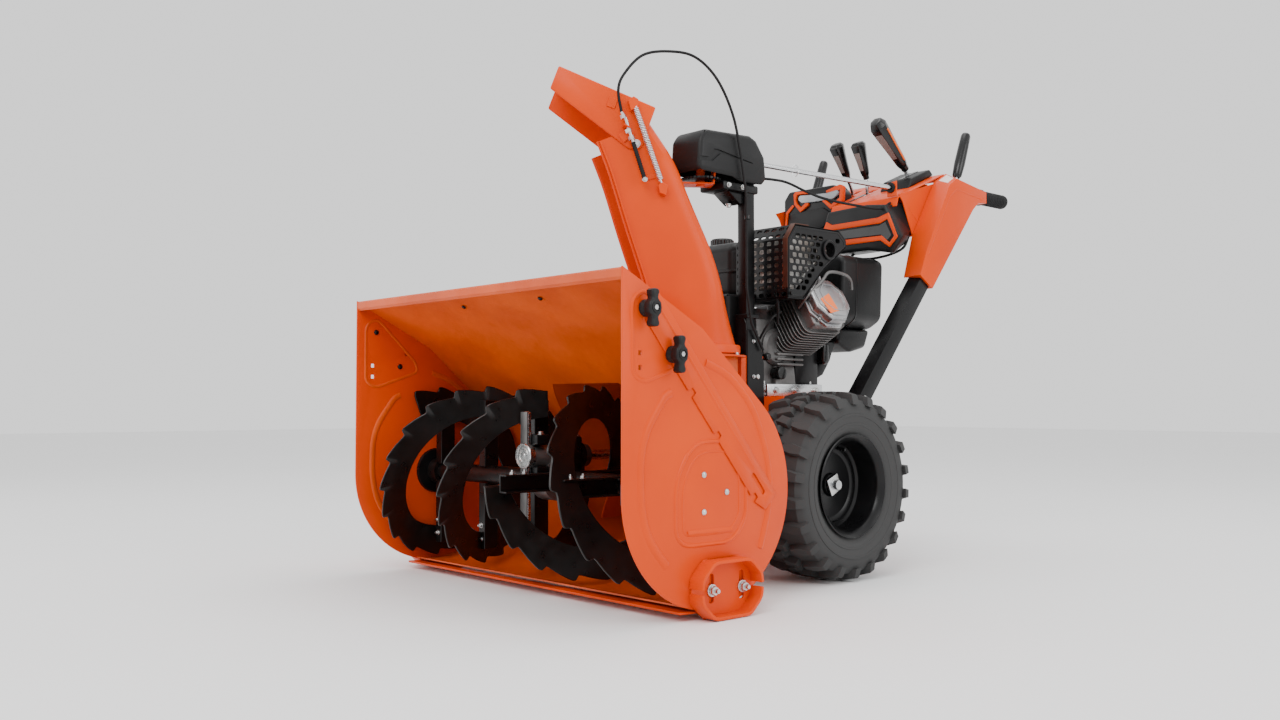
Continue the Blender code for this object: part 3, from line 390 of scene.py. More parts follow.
def tube(route: list[Vector], radius: float | list[float], sides: int = 10) -> bmesh.types.BMesh:
    """A round tube along a route, closed at both ends.

    Args:
        route: Points of the middle line.
        radius: One radius, or one for each point.
        sides: Points round the tube.
    """
    sizes = radius if isinstance(radius, list) else [radius] * len(route)
    rows = []
    side = None
    for i, point in enumerate(route):
        run = (route[min(i + 1, len(route) - 1)] - route[max(i - 1, 0)]).normalized()
        if side is None:
            side = run.orthogonal().normalized()
        side = (side - run * side.dot(run)).normalized()
        other = run.cross(side)
        rows.append([point + (side * math.cos(math.tau * k / sides)
                              + other * math.sin(math.tau * k / sides)) * sizes[i] for k in range(sides)])
    return grid(rows, False, True, True)


def ridge(path: list[Pair], x: float, sign: float, width: float, height: float, closed: bool = False,
          ) -> bmesh.types.BMesh:
    """A pressed bead that stands on a plate of constant X.

    Args:
        path: The bead's (y, z) middle line.
        x: The plate's face.
        sign: 1 if the bead stands towards +X, or -1.
        width: Width across the bead.
        height: How far it stands out.
        closed: Whether the path is a loop.
    """
    shape = [(-0.5, -0.0006), (-0.36, 0.45), (-0.16, 0.92), (0.16, 0.92), (0.36, 0.45), (0.5, -0.0006)]
    lines = []
    for across, up in shape:
        rise = up * height if up > 0 else up
        line = offset_path(path, across * width, closed)
        lines.append([Vector((x + sign * rise, y, z)) for y, z in line])
    rows = [list(row) for row in zip(*lines)]
    return grid(rows, closed, True, not closed)


def punched(axis: str, outline: list[Pair], holes: list[list[Pair]], low: float, high: float,
            ) -> bmesh.types.BMesh:
    """A flat plate with holes right through it.

    Args:
        axis: The axis across the plate.
        outline: Its edge.
        holes: An outline for each hole.
        low: Where its first face lies along the axis.
        high: Where its second face lies.
    """
    bm = bmesh.new()
    edges = []
    for loop in [outline] + holes:
        verts = [bm.verts.new(place(axis, a, b, low)) for a, b in loop]
        edges += [bm.edges.new((v, verts[(i + 1) % len(verts)])) for i, v in enumerate(verts)]
    normal = place(axis, 0, 0, 1)
    bmesh.ops.triangle_fill(bm, use_beauty=True, use_dissolve=False, edges=edges, normal=normal)
    bmesh.ops.recalc_face_normals(bm, faces=bm.faces)
    moved = bmesh.ops.extrude_face_region(bm, geom=bm.faces[:])["geom"]
    step = place(axis, 0, 0, high - low)
    bmesh.ops.translate(bm, verts=[g for g in moved if isinstance(g, bmesh.types.BMVert)], vec=step)
    return bm


def joined(*parts: bmesh.types.BMesh) -> bmesh.types.BMesh:
    """Put several meshes into the first one."""
    whole = parts[0]
    for part in parts[1:]:
        mesh = bpy.data.meshes.new("joined")
        part.to_mesh(mesh)
        part.free()
        whole.from_mesh(mesh)
        bpy.data.meshes.remove(mesh)
    return whole


def moved(bm: bmesh.types.BMesh, change: Matrix) -> bmesh.types.BMesh:
    """Move or turn a mesh."""
    bm.transform(change)
    return bm


def tidy(bm: bmesh.types.BMesh) -> bmesh.types.BMesh:
    """Merge doubled points and turn every face outwards."""
    bmesh.ops.remove_doubles(bm, verts=bm.verts, dist=1e-6)
    bmesh.ops.recalc_face_normals(bm, faces=bm.faces)
    return bm


def softened(bm: bmesh.types.BMesh, width: float, segments: int = 2, angle: float = 30.0,
             ) -> bmesh.types.BMesh:
    """Round the edges that are sharper than an angle."""
    tidy(bm)
    limit = math.radians(angle)
    edges = [e for e in bm.edges if e.is_manifold and e.calc_face_angle(0) > limit]
    bmesh.ops.bevel(bm, geom=edges, offset=width, segments=segments, affect="EDGES", profile=0.5,
                    clamp_overlap=True)
    return bm


def to_object(name: str, bm: bmesh.types.BMesh) -> bpy.types.Object:
    """Make a linked object of a mesh."""
    mesh = bpy.data.meshes.new(name)
    bm.to_mesh(mesh)
    bm.free()
    obj = bpy.data.objects.new(name, mesh)
    bpy.context.scene.collection.objects.link(obj)
    return obj


def carved(bm: bmesh.types.BMesh, *cutters: bmesh.types.BMesh) -> bmesh.types.BMesh:
    """Cut shapes out of a mesh."""
    target = to_object("carved", tidy(bm))
    guides = []
    for cutter in cutters:
        guide = to_object("carver", tidy(cutter))
        change = target.modifiers.new("cut", "BOOLEAN")
        change.operation, change.solver, change.object = "DIFFERENCE", "EXACT", guide
        guides.append(guide)
    return baked(target, guides)


def baked(target: bpy.types.Object, guides: list[bpy.types.Object]) -> bmesh.types.BMesh:
    """Read an object as its modifiers leave it, then remove it and its guides."""
    graph = bpy.context.evaluated_depsgraph_get()
    mesh = bpy.data.meshes.new_from_object(target.evaluated_get(graph))
    made = bmesh.new()
    made.from_mesh(mesh)
    bpy.data.meshes.remove(mesh)
    target.modifiers.clear()
    for obj in [target] + guides:
        bpy.data.objects.remove(obj, do_unlink=True)
    return made


def add_piece(name: str, bm: bmesh.types.BMesh, finish: Finish, body: Body | None, *nodes: str,
              angle: float = 32.0) -> bpy.types.Object:
    """Turn a drawn mesh into a finished piece.

    Args:
        name: The piece's name.
        bm: Its mesh, in the drawn frame.
        finish: Its surface.
        body: The body it rides on, or nothing for a piece that lies between two and rides on neither.
        nodes: Solids that it stands for.
        angle: Edges sharper than this stay sharp, in degrees.

    Returns:
        The piece.
    """
    tidy(bm)
    bm.transform(Matrix.Translation((0, -HALF_LENGTH, 0)))
    obj = to_object(name, bm)
    obj.data.materials.clear()
    obj.data.materials.append(finish.material())
    obj.data.shade_smooth()
    obj.data.set_sharp_from_angle(angle=math.radians(angle))
    if body:
        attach(obj, body.value)
    if nodes:
        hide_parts(*nodes)
    LOG.info("%s: %d faces", name, len(obj.data.polygons))
    return obj


def node_mesh(node: str) -> bmesh.types.BMesh:
    """A merged copy of a solid, in the drawn frame."""
    bm = bmesh.new()
    bm.from_mesh(NODES[node].data)
    bm.transform(Matrix.Translation((0, HALF_LENGTH, 0)))
    bmesh.ops.remove_doubles(bm, verts=bm.verts, dist=2e-6)
    bmesh.ops.dissolve_limit(bm, angle_limit=math.radians(0.6), verts=bm.verts, edges=bm.edges)
    return bm


def dressed(node: str, finish: Finish, body: Body, width: float, segments: int = 2) -> bpy.types.Object:
    """A solid with its edges rounded and a finish, in place of the plain one."""
    return add_piece(f"{node}_finished", softened(node_mesh(node), width, segments), finish, body, node)


# ------------------------------------------------------------------------ geometry trees


class Tree:
    """A Geometry Nodes tree that ends in Realize Instances and Set Material."""

    def __init__(self, name: str) -> None:
        """Start an empty tree.

        Args:
            name: The tree's name.
        """
        self.group = bpy.data.node_groups.new(name, "GeometryNodeTree")
        self.group.is_modifier = True
        self.group.interface.new_socket("Geometry", in_out="INPUT", socket_type="NodeSocketGeometry")
        self.group.interface.new_socket("Geometry", in_out="OUTPUT", socket_type="NodeSocketGeometry")
        self.keys: dict[str, str] = {}
        self.entry = self.group.nodes.new("NodeGroupInput")

    def take(self, name: str, kind: str) -> None:
        """Add a named input."""
        item = self.group.interface.new_socket(name, in_out="INPUT", socket_type="NodeSocket" + kind)
        self.keys[name] = item.identifier

    def node(self, kind: str, **settings: object) -> bpy.types.Node:
        """Add a node."""
        made = self.group.nodes.new(kind)
        for key, value in settings.items():
            setattr(made, key, value)
        return made

    def link(self, source: bpy.types.NodeSocket, target: bpy.types.NodeSocket) -> None:
        """Join two sockets."""
        self.group.links.new(source, target)

    def close(self, result: bpy.types.NodeSocket) -> None:
        """Realize the instances, set the material and end the tree."""
        self.take("Material", "Material")
        real = self.node("GeometryNodeRealizeInstances")
        coat = self.node("GeometryNodeSetMaterial")
        end = self.group.nodes.new("NodeGroupOutput")
        self.link(result, real.inputs["Geometry"])
        self.link(real.outputs["Geometry"], coat.inputs["Geometry"])
        self.link(self.entry.outputs["Material"], coat.inputs["Material"])
        self.link(coat.outputs["Geometry"], end.inputs["Geometry"])

    def run(self, host: bmesh.types.BMesh | None, finish: Finish, guides: list[bpy.types.Object],
            **values: object) -> bmesh.types.BMesh:
        """Evaluate the tree and return its mesh.

        Args:
            host: The mesh that the tree starts from, or nothing.
            finish: The material to set.
            guides: Objects to remove afterwards.
            values: A value for each named input.
        """
        target = to_object("tree_host", host or bmesh.new())
        change = target.modifiers.new("tree", "NODES")
        change.node_group = self.group
        change[self.keys["Material"]] = finish.material()
        for name, value in values.items():
            change[self.keys[name]] = value
        return baked(target, guides)


def ring_tree() -> Tree:
    """Copies of one shape turned about an axis through the origin."""
    tree = Tree("turned_copies")
    for name, kind in (("Part", "Object"), ("Count", "Int"), ("Turn", "Float"), ("Axis", "Vector")):
        tree.take(name, kind)
    points = tree.node("GeometryNodePoints")
    index = tree.node("GeometryNodeInputIndex")
    times = tree.node("ShaderNodeMath", operation="MULTIPLY")
    turn = tree.node("FunctionNodeAxisAngleToRotation")
    part = tree.node("GeometryNodeObjectInfo")
    copies = tree.node("GeometryNodeInstanceOnPoints")
    tree.link(tree.entry.outputs["Count"], points.inputs["Count"])
    tree.link(index.outputs["Index"], times.inputs[0])
    tree.link(tree.entry.outputs["Turn"], times.inputs[1])
    tree.link(tree.entry.outputs["Axis"], turn.inputs["Axis"])
    tree.link(times.outputs[0], turn.inputs["Angle"])
    tree.link(tree.entry.outputs["Part"], part.inputs["Object"])
    tree.link(points.outputs[0], copies.inputs["Points"])
    tree.link(part.outputs["Geometry"], copies.inputs["Instance"])
    tree.link(turn.outputs["Rotation"], copies.inputs["Rotation"])
    tree.close(copies.outputs["Instances"])
    return tree


def row_tree() -> Tree:
    """Copies of one shape laid along a straight line."""
    tree = Tree("laid_copies")
    for name, kind in (("Part", "Object"), ("Count", "Int"), ("Step", "Vector")):
        tree.take(name, kind)
    line = tree.node("GeometryNodeMeshLine")
    part = tree.node("GeometryNodeObjectInfo")
    copies = tree.node("GeometryNodeInstanceOnPoints")
    tree.link(tree.entry.outputs["Count"], line.inputs["Count"])
    tree.link(tree.entry.outputs["Step"], line.inputs["Offset"])
    tree.link(tree.entry.outputs["Part"], part.inputs["Object"])
    tree.link(line.outputs["Mesh"], copies.inputs["Points"])
    tree.link(part.outputs["Geometry"], copies.inputs["Instance"])
    tree.close(copies.outputs["Instances"])
    return tree


def fastener_tree() -> Tree:
    """One fastener on each point, turned to its normal and sized by an attribute."""
    tree = Tree("fasteners")
    tree.take("Part", "Object")
    facing = tree.node("GeometryNodeInputNamedAttribute", data_type="FLOAT_VECTOR")
    facing.inputs["Name"].default_value = "facing"
    size = tree.node("GeometryNodeInputNamedAttribute", data_type="FLOAT")
    size.inputs["Name"].default_value = "size"
    turn = tree.node("FunctionNodeAlignRotationToVector", axis="Z")
    part = tree.node("GeometryNodeObjectInfo")
    copies = tree.node("GeometryNodeInstanceOnPoints")
    tree.link(tree.entry.outputs["Part"], part.inputs["Object"])
    tree.link(facing.outputs["Attribute"], turn.inputs["Vector"])
    tree.link(tree.entry.outputs["Geometry"], copies.inputs["Points"])
    tree.link(part.outputs["Geometry"], copies.inputs["Instance"])
    tree.link(turn.outputs["Rotation"], copies.inputs["Rotation"])
    tree.link(size.outputs["Attribute"], copies.inputs["Scale"])
    tree.close(copies.outputs["Instances"])
    return tree


def coil_tree() -> Tree:
    """A wire wound into a straight coil up the Z axis."""
    tree = Tree("wound_wire")
    for name, kind in (("Turns", "Float"), ("Radius", "Float"), ("Length", "Float"), ("Wire", "Float")):
        tree.take(name, kind)
    spiral = tree.node("GeometryNodeCurveSpiral")
    spiral.inputs["Resolution"].default_value = 14
    ring = tree.node("GeometryNodeCurvePrimitiveCircle")
    ring.inputs["Resolution"].default_value = 6
    skin = tree.node("GeometryNodeCurveToMesh")
    skin.inputs["Fill Caps"].default_value = True
    tree.link(tree.entry.outputs["Turns"], spiral.inputs["Rotations"])
    tree.link(tree.entry.outputs["Radius"], spiral.inputs["Start Radius"])
    tree.link(tree.entry.outputs["Radius"], spiral.inputs["End Radius"])
    tree.link(tree.entry.outputs["Length"], spiral.inputs["Height"])
    tree.link(tree.entry.outputs["Wire"], ring.inputs["Radius"])
    tree.link(spiral.outputs["Curve"], skin.inputs["Curve"])
    tree.link(ring.outputs["Curve"], skin.inputs["Profile Curve"])
    tree.close(skin.outputs["Mesh"])
    return tree


def turned_copies(part: bmesh.types.BMesh, count: int, axis: str, centre: Point, finish: Finish,
                  ) -> bmesh.types.BMesh:
    """Copies of a shape, drawn about the origin, turned about an axis and moved to centre."""
    guide = to_object("ring_part", tidy(part))
    way = {"X": (1, 0, 0), "Y": (0, 1, 0), "Z": (0, 0, 1)}[axis]
    made = TREES["ring"].run(None, finish, [guide], Part=guide, Count=count, Turn=math.tau / count, Axis=way)
    return moved(made, Matrix.Translation(centre))


def laid_copies(part: bmesh.types.BMesh, count: int, step: Point, finish: Finish) -> bmesh.types.BMesh:
    """Copies of a shape, each one step on from the last."""
    guide = to_object("row_part", tidy(part))
    return TREES["row"].run(None, finish, [guide], Part=guide, Count=count, Step=step)


def coil(turns: float, radius: float, length: float, wire: float, finish: Finish) -> bmesh.types.BMesh:
    """A wire coil that stands on the origin, up Z."""
    return TREES["coil"].run(None, finish, [], Turns=turns, Radius=radius, Length=length, Wire=wire)


class Head(Enum):
    """Kinds of fastener, by the shape that shows."""

    HEX = "hex"
    NUT = "nut"
    DOME = "dome"


def head_mesh(kind: Head) -> bmesh.types.BMesh:
    """A fastener of 10 mm across its flats, which stands on the origin and faces +Z."""
    washer = lathe("Z", (0, 0), [(0.0075, -0.001), (0.0075, 0.0011), (0.0070, 0.0015), (0.0005, 0.0015),
                                 (0.0005, -0.001)], 20)
    if kind is Head.DOME:
        dome = [(0.0062, 0.0), (0.0060, 0.0016), (0.0046, 0.0031), (0.0024, 0.0039), (0.0002, 0.0041),
                (0.0002, 0.0)]
        return lathe("Z", (0, 0), dome, 16)
    corners = [(0.00577 * math.cos(math.tau * k / 6), 0.00577 * math.sin(math.tau * k / 6)) for k in range(6)]
    hexagon = softened(prism("Z", corners, 0.0012, 0.0066), 0.0006, 1, 20)
    if kind is Head.HEX:
        return joined(washer, hexagon)
    return joined(washer, hexagon, rod((0, 0, 0.004), (0, 0, 0.0112), 0.0030, 10, 0.0026))


def fasteners(name: str, kind: Head, places: list[tuple[Point, Point, float]], finish: Finish, body: Body,
              ) -> bpy.types.Object:
    """Put a fastener at each place.

    Args:
        name: The piece's name.
        kind: The kind of fastener.
        places: For each one its point, the way it faces and its size against a 10 mm head.
        finish: Its surface.
        body: The body it rides on.
    """
    guide = to_object("fastener_part", tidy(head_mesh(kind)))
    mesh = bpy.data.meshes.new("fastener_places")
    mesh.from_pydata([p for p, _, _ in places], [], [])
    mesh.attributes.new("facing", "FLOAT_VECTOR", "POINT")
    mesh.attributes.new("size", "FLOAT", "POINT")
    for i, (_, way, scale) in enumerate(places):
        mesh.attributes["facing"].data[i].vector = way
        mesh.attributes["size"].data[i].value = scale
    host = bpy.data.objects.new("fastener_host", mesh)
    bpy.context.scene.collection.objects.link(host)
    tree = TREES["fastener"]
    change = host.modifiers.new("tree", "NODES")
    change.node_group = tree.group
    change[tree.keys["Material"]] = finish.material()
    change[tree.keys["Part"]] = guide
    return add_piece(name, baked(host, [guide]), finish, body)


TREES: dict[str, Tree] = {}
NODES: dict[str, bpy.types.Object] = {}


# ------------------------------------------------------------------------- auger housing


@dataclass
class AugerHousing:
    """Rolled shell between two pressed side plates, with scraper, shoes, cutters and knobs."""

    height: float = 0.610
    fold: Pair = (0.190, 0.512)
    shell_radius: float = 0.206
    plate_radius: float = 0.208
    sheet: float = 0.003
    side_sheet: float = 0.004
    inner_x: float = 0.4526

    def build(self) -> None:
        """Make every piece of the housing."""
        self.shell()
        for side, sign in SIDES.items():
            self.side_plate(side, sign)
            self.skid_shoe(side, sign)
            self.drift_cutter(side, sign)
            for level, spot in (("upper", (0.048, 0.541)), ("lower", (0.110, 0.464))):
                self.knob(side, sign, level, spot)
        dressed("scraper_bar", PAINT, Body.MACHINE, 0.0008)
        row_y, tilt = 0.052, (0.0, -0.46, -0.89)
        places = [((x, row_y, 0.6045 - (row_y / self.fold[0]) * 0.098), tilt, 0.8) for x in (-0.10, 0.16)]
        fasteners("roof_bolts", Head.DOME, places, SATIN, Body.MACHINE)

    def touch(self, point: Pair, radius: float) -> float:
        """Angle, in degrees, where a line from point touches the round rear."""
        run = Vector(point) - Vector(AUGER)
        return math.degrees(math.atan2(run.y, run.x) - math.acos(radius / run.length))

    def shell(self) -> None:
        """The rolled sheet with its lip and the drum's mouth cut in it."""
        fold = (self.fold[0], self.fold[1] - self.sheet / 2)
        end = -math.degrees(math.acos((0.158 - AUGER[0]) / self.shell_radius))
        half = self.sheet / 2
        lip = [(0.0105, self.height - 0.019), (0.0045, self.height - 0.0205), (half, self.height - 0.0165)]
        lip += [(half, self.height - 0.005), (0.0035, self.height - self.sheet)]
        round_part = arc(AUGER, self.shell_radius, self.touch(fold, self.shell_radius), end, 3)
        outline = sheet_outline(lip + [fold] + round_part, self.sheet)
        sheet = prism("X", outline, -self.inner_x, self.inner_x)
        mouth = rod((0, 0.29, WORM_Z), (0, 0.50, WORM_Z), 0.187, 72)
        add_piece("housing_shell", carved(sheet, mouth), SHADED_INSIDE_PAINT, Body.MACHINE, "auger_housing")

    def side_plate(self, side: str, sign: float) -> None:
        """A flat plate with pressed beads, a bearing boss and its bolts."""
        face = sign * PLATE_X
        start = self.touch(self.fold, self.plate_radius)
        outline = [(0, self.height), self.fold] + arc(AUGER, self.plate_radius, start, -180, 3)
        half = 0.0042
        square = [[(y + a * half, z + b * half) for a, b in ((-1, -1), (1, -1), (1, 1), (-1, 1))]
                  for y, z in ((0.040, 0.465), (0.040, 0.440))]
        diamond = [(0.127 + 0.0055 * math.cos(a), 0.492 + 0.0055 * math.sin(a))
                   for a in (0, math.pi / 2, math.pi, 3 * math.pi / 2)]
        low, high = sorted((face, sign * (PLATE_X - self.side_sheet)))
        plate = punched("X", outline, square + [diamond], low, high)
        add_piece(f"{side}_plate_pressed", softened(plate, 0.0009, 2, 60), PAINT, Body.MACHINE,
                  f"{side}_side_plate")
        front = rounded([(0.112, 0.398), (0.097, 0.392), (0.042, 0.318), (0.040, 0.215), (0.056, 0.150),
                         (0.100, 0.100)], 0.045, False, 6)
        rear = rounded([(0.196, 0.452), (0.258, 0.430), (0.322, 0.372), (0.364, 0.270), (0.366, 0.190),
                        (0.338, 0.112)], 0.06, False, 6)
        panel = rounded([(0.022, 0.556), (0.022, 0.428), (0.048, 0.415), (0.157, 0.452), (0.152, 0.474),
                         (0.050, 0.574)], 0.016, True, 4)
        boss = rounded([(0.121, 0.130), (0.121, 0.246), (0.165, 0.312), (0.262, 0.312), (0.300, 0.262),
                        (0.300, 0.168), (0.262, 0.130)], 0.040, True, 6)
        low_bead = [(0.150, 0.152), (0.262, 0.152)]
        inner = offset_path(boss, 0.018 if self.area(boss) > 0 else -0.018, True)
        beads = [
            ridge(front, face, sign, 0.018, 0.0036), ridge(rear, face, sign, 0.016, 0.0032),
            ridge(panel, face, sign, 0.009, 0.0020, True), ridge(boss, face, sign, 0.008, 0.0030, True),
            ridge(inner, face, sign, 0.005, 0.0016, True), ridge(low_bead, face, sign, 0.011, 0.0030),
        ]
        add_piece(f"{side}_plate_beads", joined(*beads), PAINT, Body.MACHINE, angle=55)
        back = sign * (PLATE_X - self.side_sheet)
        inside = [ridge(front, back, -sign, 0.016, 0.0024), ridge(rear, back, -sign, 0.014, 0.0024),
                  ridge(panel, back, -sign, 0.008, 0.0016, True)]
        add_piece(f"{side}_plate_beads_inside", joined(*inside), SHADED_INSIDE_PAINT, Body.MACHINE, angle=55)
        bearing = lathe("X", AUGER, [(0.052, back), (0.050, back - sign * 0.007),
                                     (0.028, back - sign * 0.012),
                                     (0.014, back - sign * 0.012), (0.014, back)], 40)
        add_piece(f"{side}_end_bearing", bearing, SATIN, Body.MACHINE)
        bolts = [((face, y, z), (sign, 0, 0), 0.95)
                 for y, z in ((0.191, 0.253), (0.249, 0.220), (0.191, 0.187))]
        fasteners(f"{side}_bearing_bolts", Head.DOME, bolts, ZINC, Body.MACHINE)
        nuts = [((back, y, z), (-sign, 0, 0), 1.0) for y, z in ((0.048, 0.541), (0.110, 0.464))]
        fasteners(f"{side}_inner_bolts", Head.DOME, nuts, SATIN, Body.MACHINE)

    @staticmethod
    def area(points: list[Pair]) -> float:
        """Twice the signed area of an outline."""
        return sum(a[0] * b[1] - b[0] * a[1] for a, b in zip(points, points[1:] + points[:1]))

    def skid_shoe(self, side: str, sign: float) -> None:
        """An octagonal shoe with folded flanges, two slots and its two bolts."""
        near = PLATE_X + 0.0004
        outline = [(0.156, 0.030), (0.187, 0.0), (0.277, 0.0), (0.308, 0.030)]
        outline += [(0.308, 0.074), (0.277, 0.104), (0.187, 0.104), (0.156, 0.074)]
        holes = [rounded([(y - 0.0062, 0.026), (y + 0.0062, 0.026), (y + 0.0062, 0.078), (y - 0.0062, 0.078)],
                         0.006, True, 3) for y in (0.204, 0.282)]
        low, high = sorted((sign * near, sign * (near + 0.005)))
        plate = softened(punched("X", outline, holes, low, high), 0.0008, 1, 60)
        low, high = sorted((sign * near, sign * (near + 0.034)))
        sole = rounded([(0.156, 0.048), (0.158, 0.030), (0.187, 0.003), (0.277, 0.003), (0.306, 0.030),
                        (0.308, 0.048)], 0.010, False, 3)
        flanges = []
        for flip in (False, True):
            path = [(y, 0.104 - z) for y, z in sole] if flip else sole
            flanges.append(softened(prism("X", sheet_outline(path, 0.006), low, high), 0.0012, 2, 50))
        add_piece(f"{side}_shoe_pressed", joined(plate, *flanges), PAINT, Body.MACHINE, f"{side}_skid_shoe",
                  angle=40)
        seat = sign * (near + 0.0062)
        spots = [((seat, y, 0.049), (sign, 0, 0), 1.55) for y in (0.204, 0.282)]
        fasteners(f"{side}_shoe_nuts", Head.NUT, spots, ZINC, Body.MACHINE)

    @staticmethod
    def cutter_point(along: float, across: float) -> Pair:
        """A point on the stowed drift cutter, measured along it and across it."""
        run = Vector((0.641, -0.767)).normalized()
        return tuple(Vector((0.0810, 0.5700)) + run * along + Vector((-run.y, run.x)) * across)

    def drift_cutter(self, side: str, sign: float) -> None:
        """A long notched bar with a crease and a slot near its lower end."""
        length, width, notch = 0.470, 0.054, 0.012
        flat = [(0, 0), (length, 0), (length, -width + 0.012)]
        for spot in (length - 0.030, 0.290, 0.190):
            flat += [(spot, -width), (spot - 0.001, -width + notch), (spot - 0.013, -width + notch),
                     (spot - 0.016, -width)]
        flat += [(0.020, -width), (0, -width + 0.020)]
        outline = [self.cutter_point(*p) for p in flat]
        slot = rounded([self.cutter_point(*p) for p in ((0.395, -0.021), (0.445, -0.021), (0.445, -0.031),
                                                         (0.395, -0.031))], 0.005, True, 3)
        near = PLATE_X + 0.0004
        low, high = sorted((sign * near, sign * (near + 0.003)))
        bar = softened(punched("X", outline, [slot], low, high), 0.0007, 1, 60)
        crease = ridge([self.cutter_point(0.010, -0.016), self.cutter_point(length - 0.080, -0.016)],
                       sign * (near + 0.003), sign, 0.006, 0.0012)
        add_piece(f"{side}_cutter_bar", joined(bar, crease), PAINT, Body.MACHINE, f"{side}_drift_cutter",
                  angle=50)

    def knob(self, side: str, sign: float, level: str, spot: Pair) -> None:
        """A dog-bone knob with a waisted grip and a bolt set in its middle."""
        seat = PLATE_X + 0.0038
        y, z = spot
        half = [(0.0, 0.0325), (0.0050, 0.0320), (0.0082, 0.0292), (0.0086, 0.0255), (0.0068, 0.0205),
                (0.0058, 0.0165), (0.0085, 0.0130), (0.0128, 0.0088), (0.0142, 0.0)]
        right = half + [(a, -b) for a, b in half[-2::-1]]
        outline = right + [(-a, b) for a, b in right[-2:0:-1]]
        shape = [(y + a, z + b) for a, b in outline]
        low, high = sorted((sign * (seat + 0.010), sign * (seat + 0.028)))
        wing = softened(prism("X", shape, low, high), 0.0035, 3, 50)
        hub = lathe("X", spot, [(0.0150, sign * seat), (0.0150, sign * (seat + 0.004)),
                                (0.0118, sign * (seat + 0.008)), (0.0118, sign * (seat + 0.012)),
                                (0.0005, sign * (seat + 0.012)), (0.0005, sign * seat)], 28)
        collar = lathe("X", spot, [(0.0095, sign * (seat + 0.027)), (0.0095, sign * (seat + 0.0295)),
                                   (0.0072, sign * (seat + 0.0295)), (0.0068, sign * (seat + 0.0255)),
                                   (0.0068, sign * (seat + 0.027))], 24)
        name = f"{side}_{level}_knob"
        body = Body(f"{side}_{level}_nut")
        add_piece(f"{name}_moulded", joined(wing, hub, collar), PLASTIC, body, name, angle=40)
        bolt = lathe("X", spot, [(0.0046, sign * (seat + 0.026)), (0.0046, sign * (seat + 0.0292)),
                                 (0.0030, sign * (seat + 0.0302)), (0.0004, sign * (seat + 0.0302)),
                                 (0.0004, sign * (seat + 0.026))], 6)
        add_piece(f"{name}_bolt", bolt, ZINC, body)


# --------------------------------------------------------------------- auger and impeller


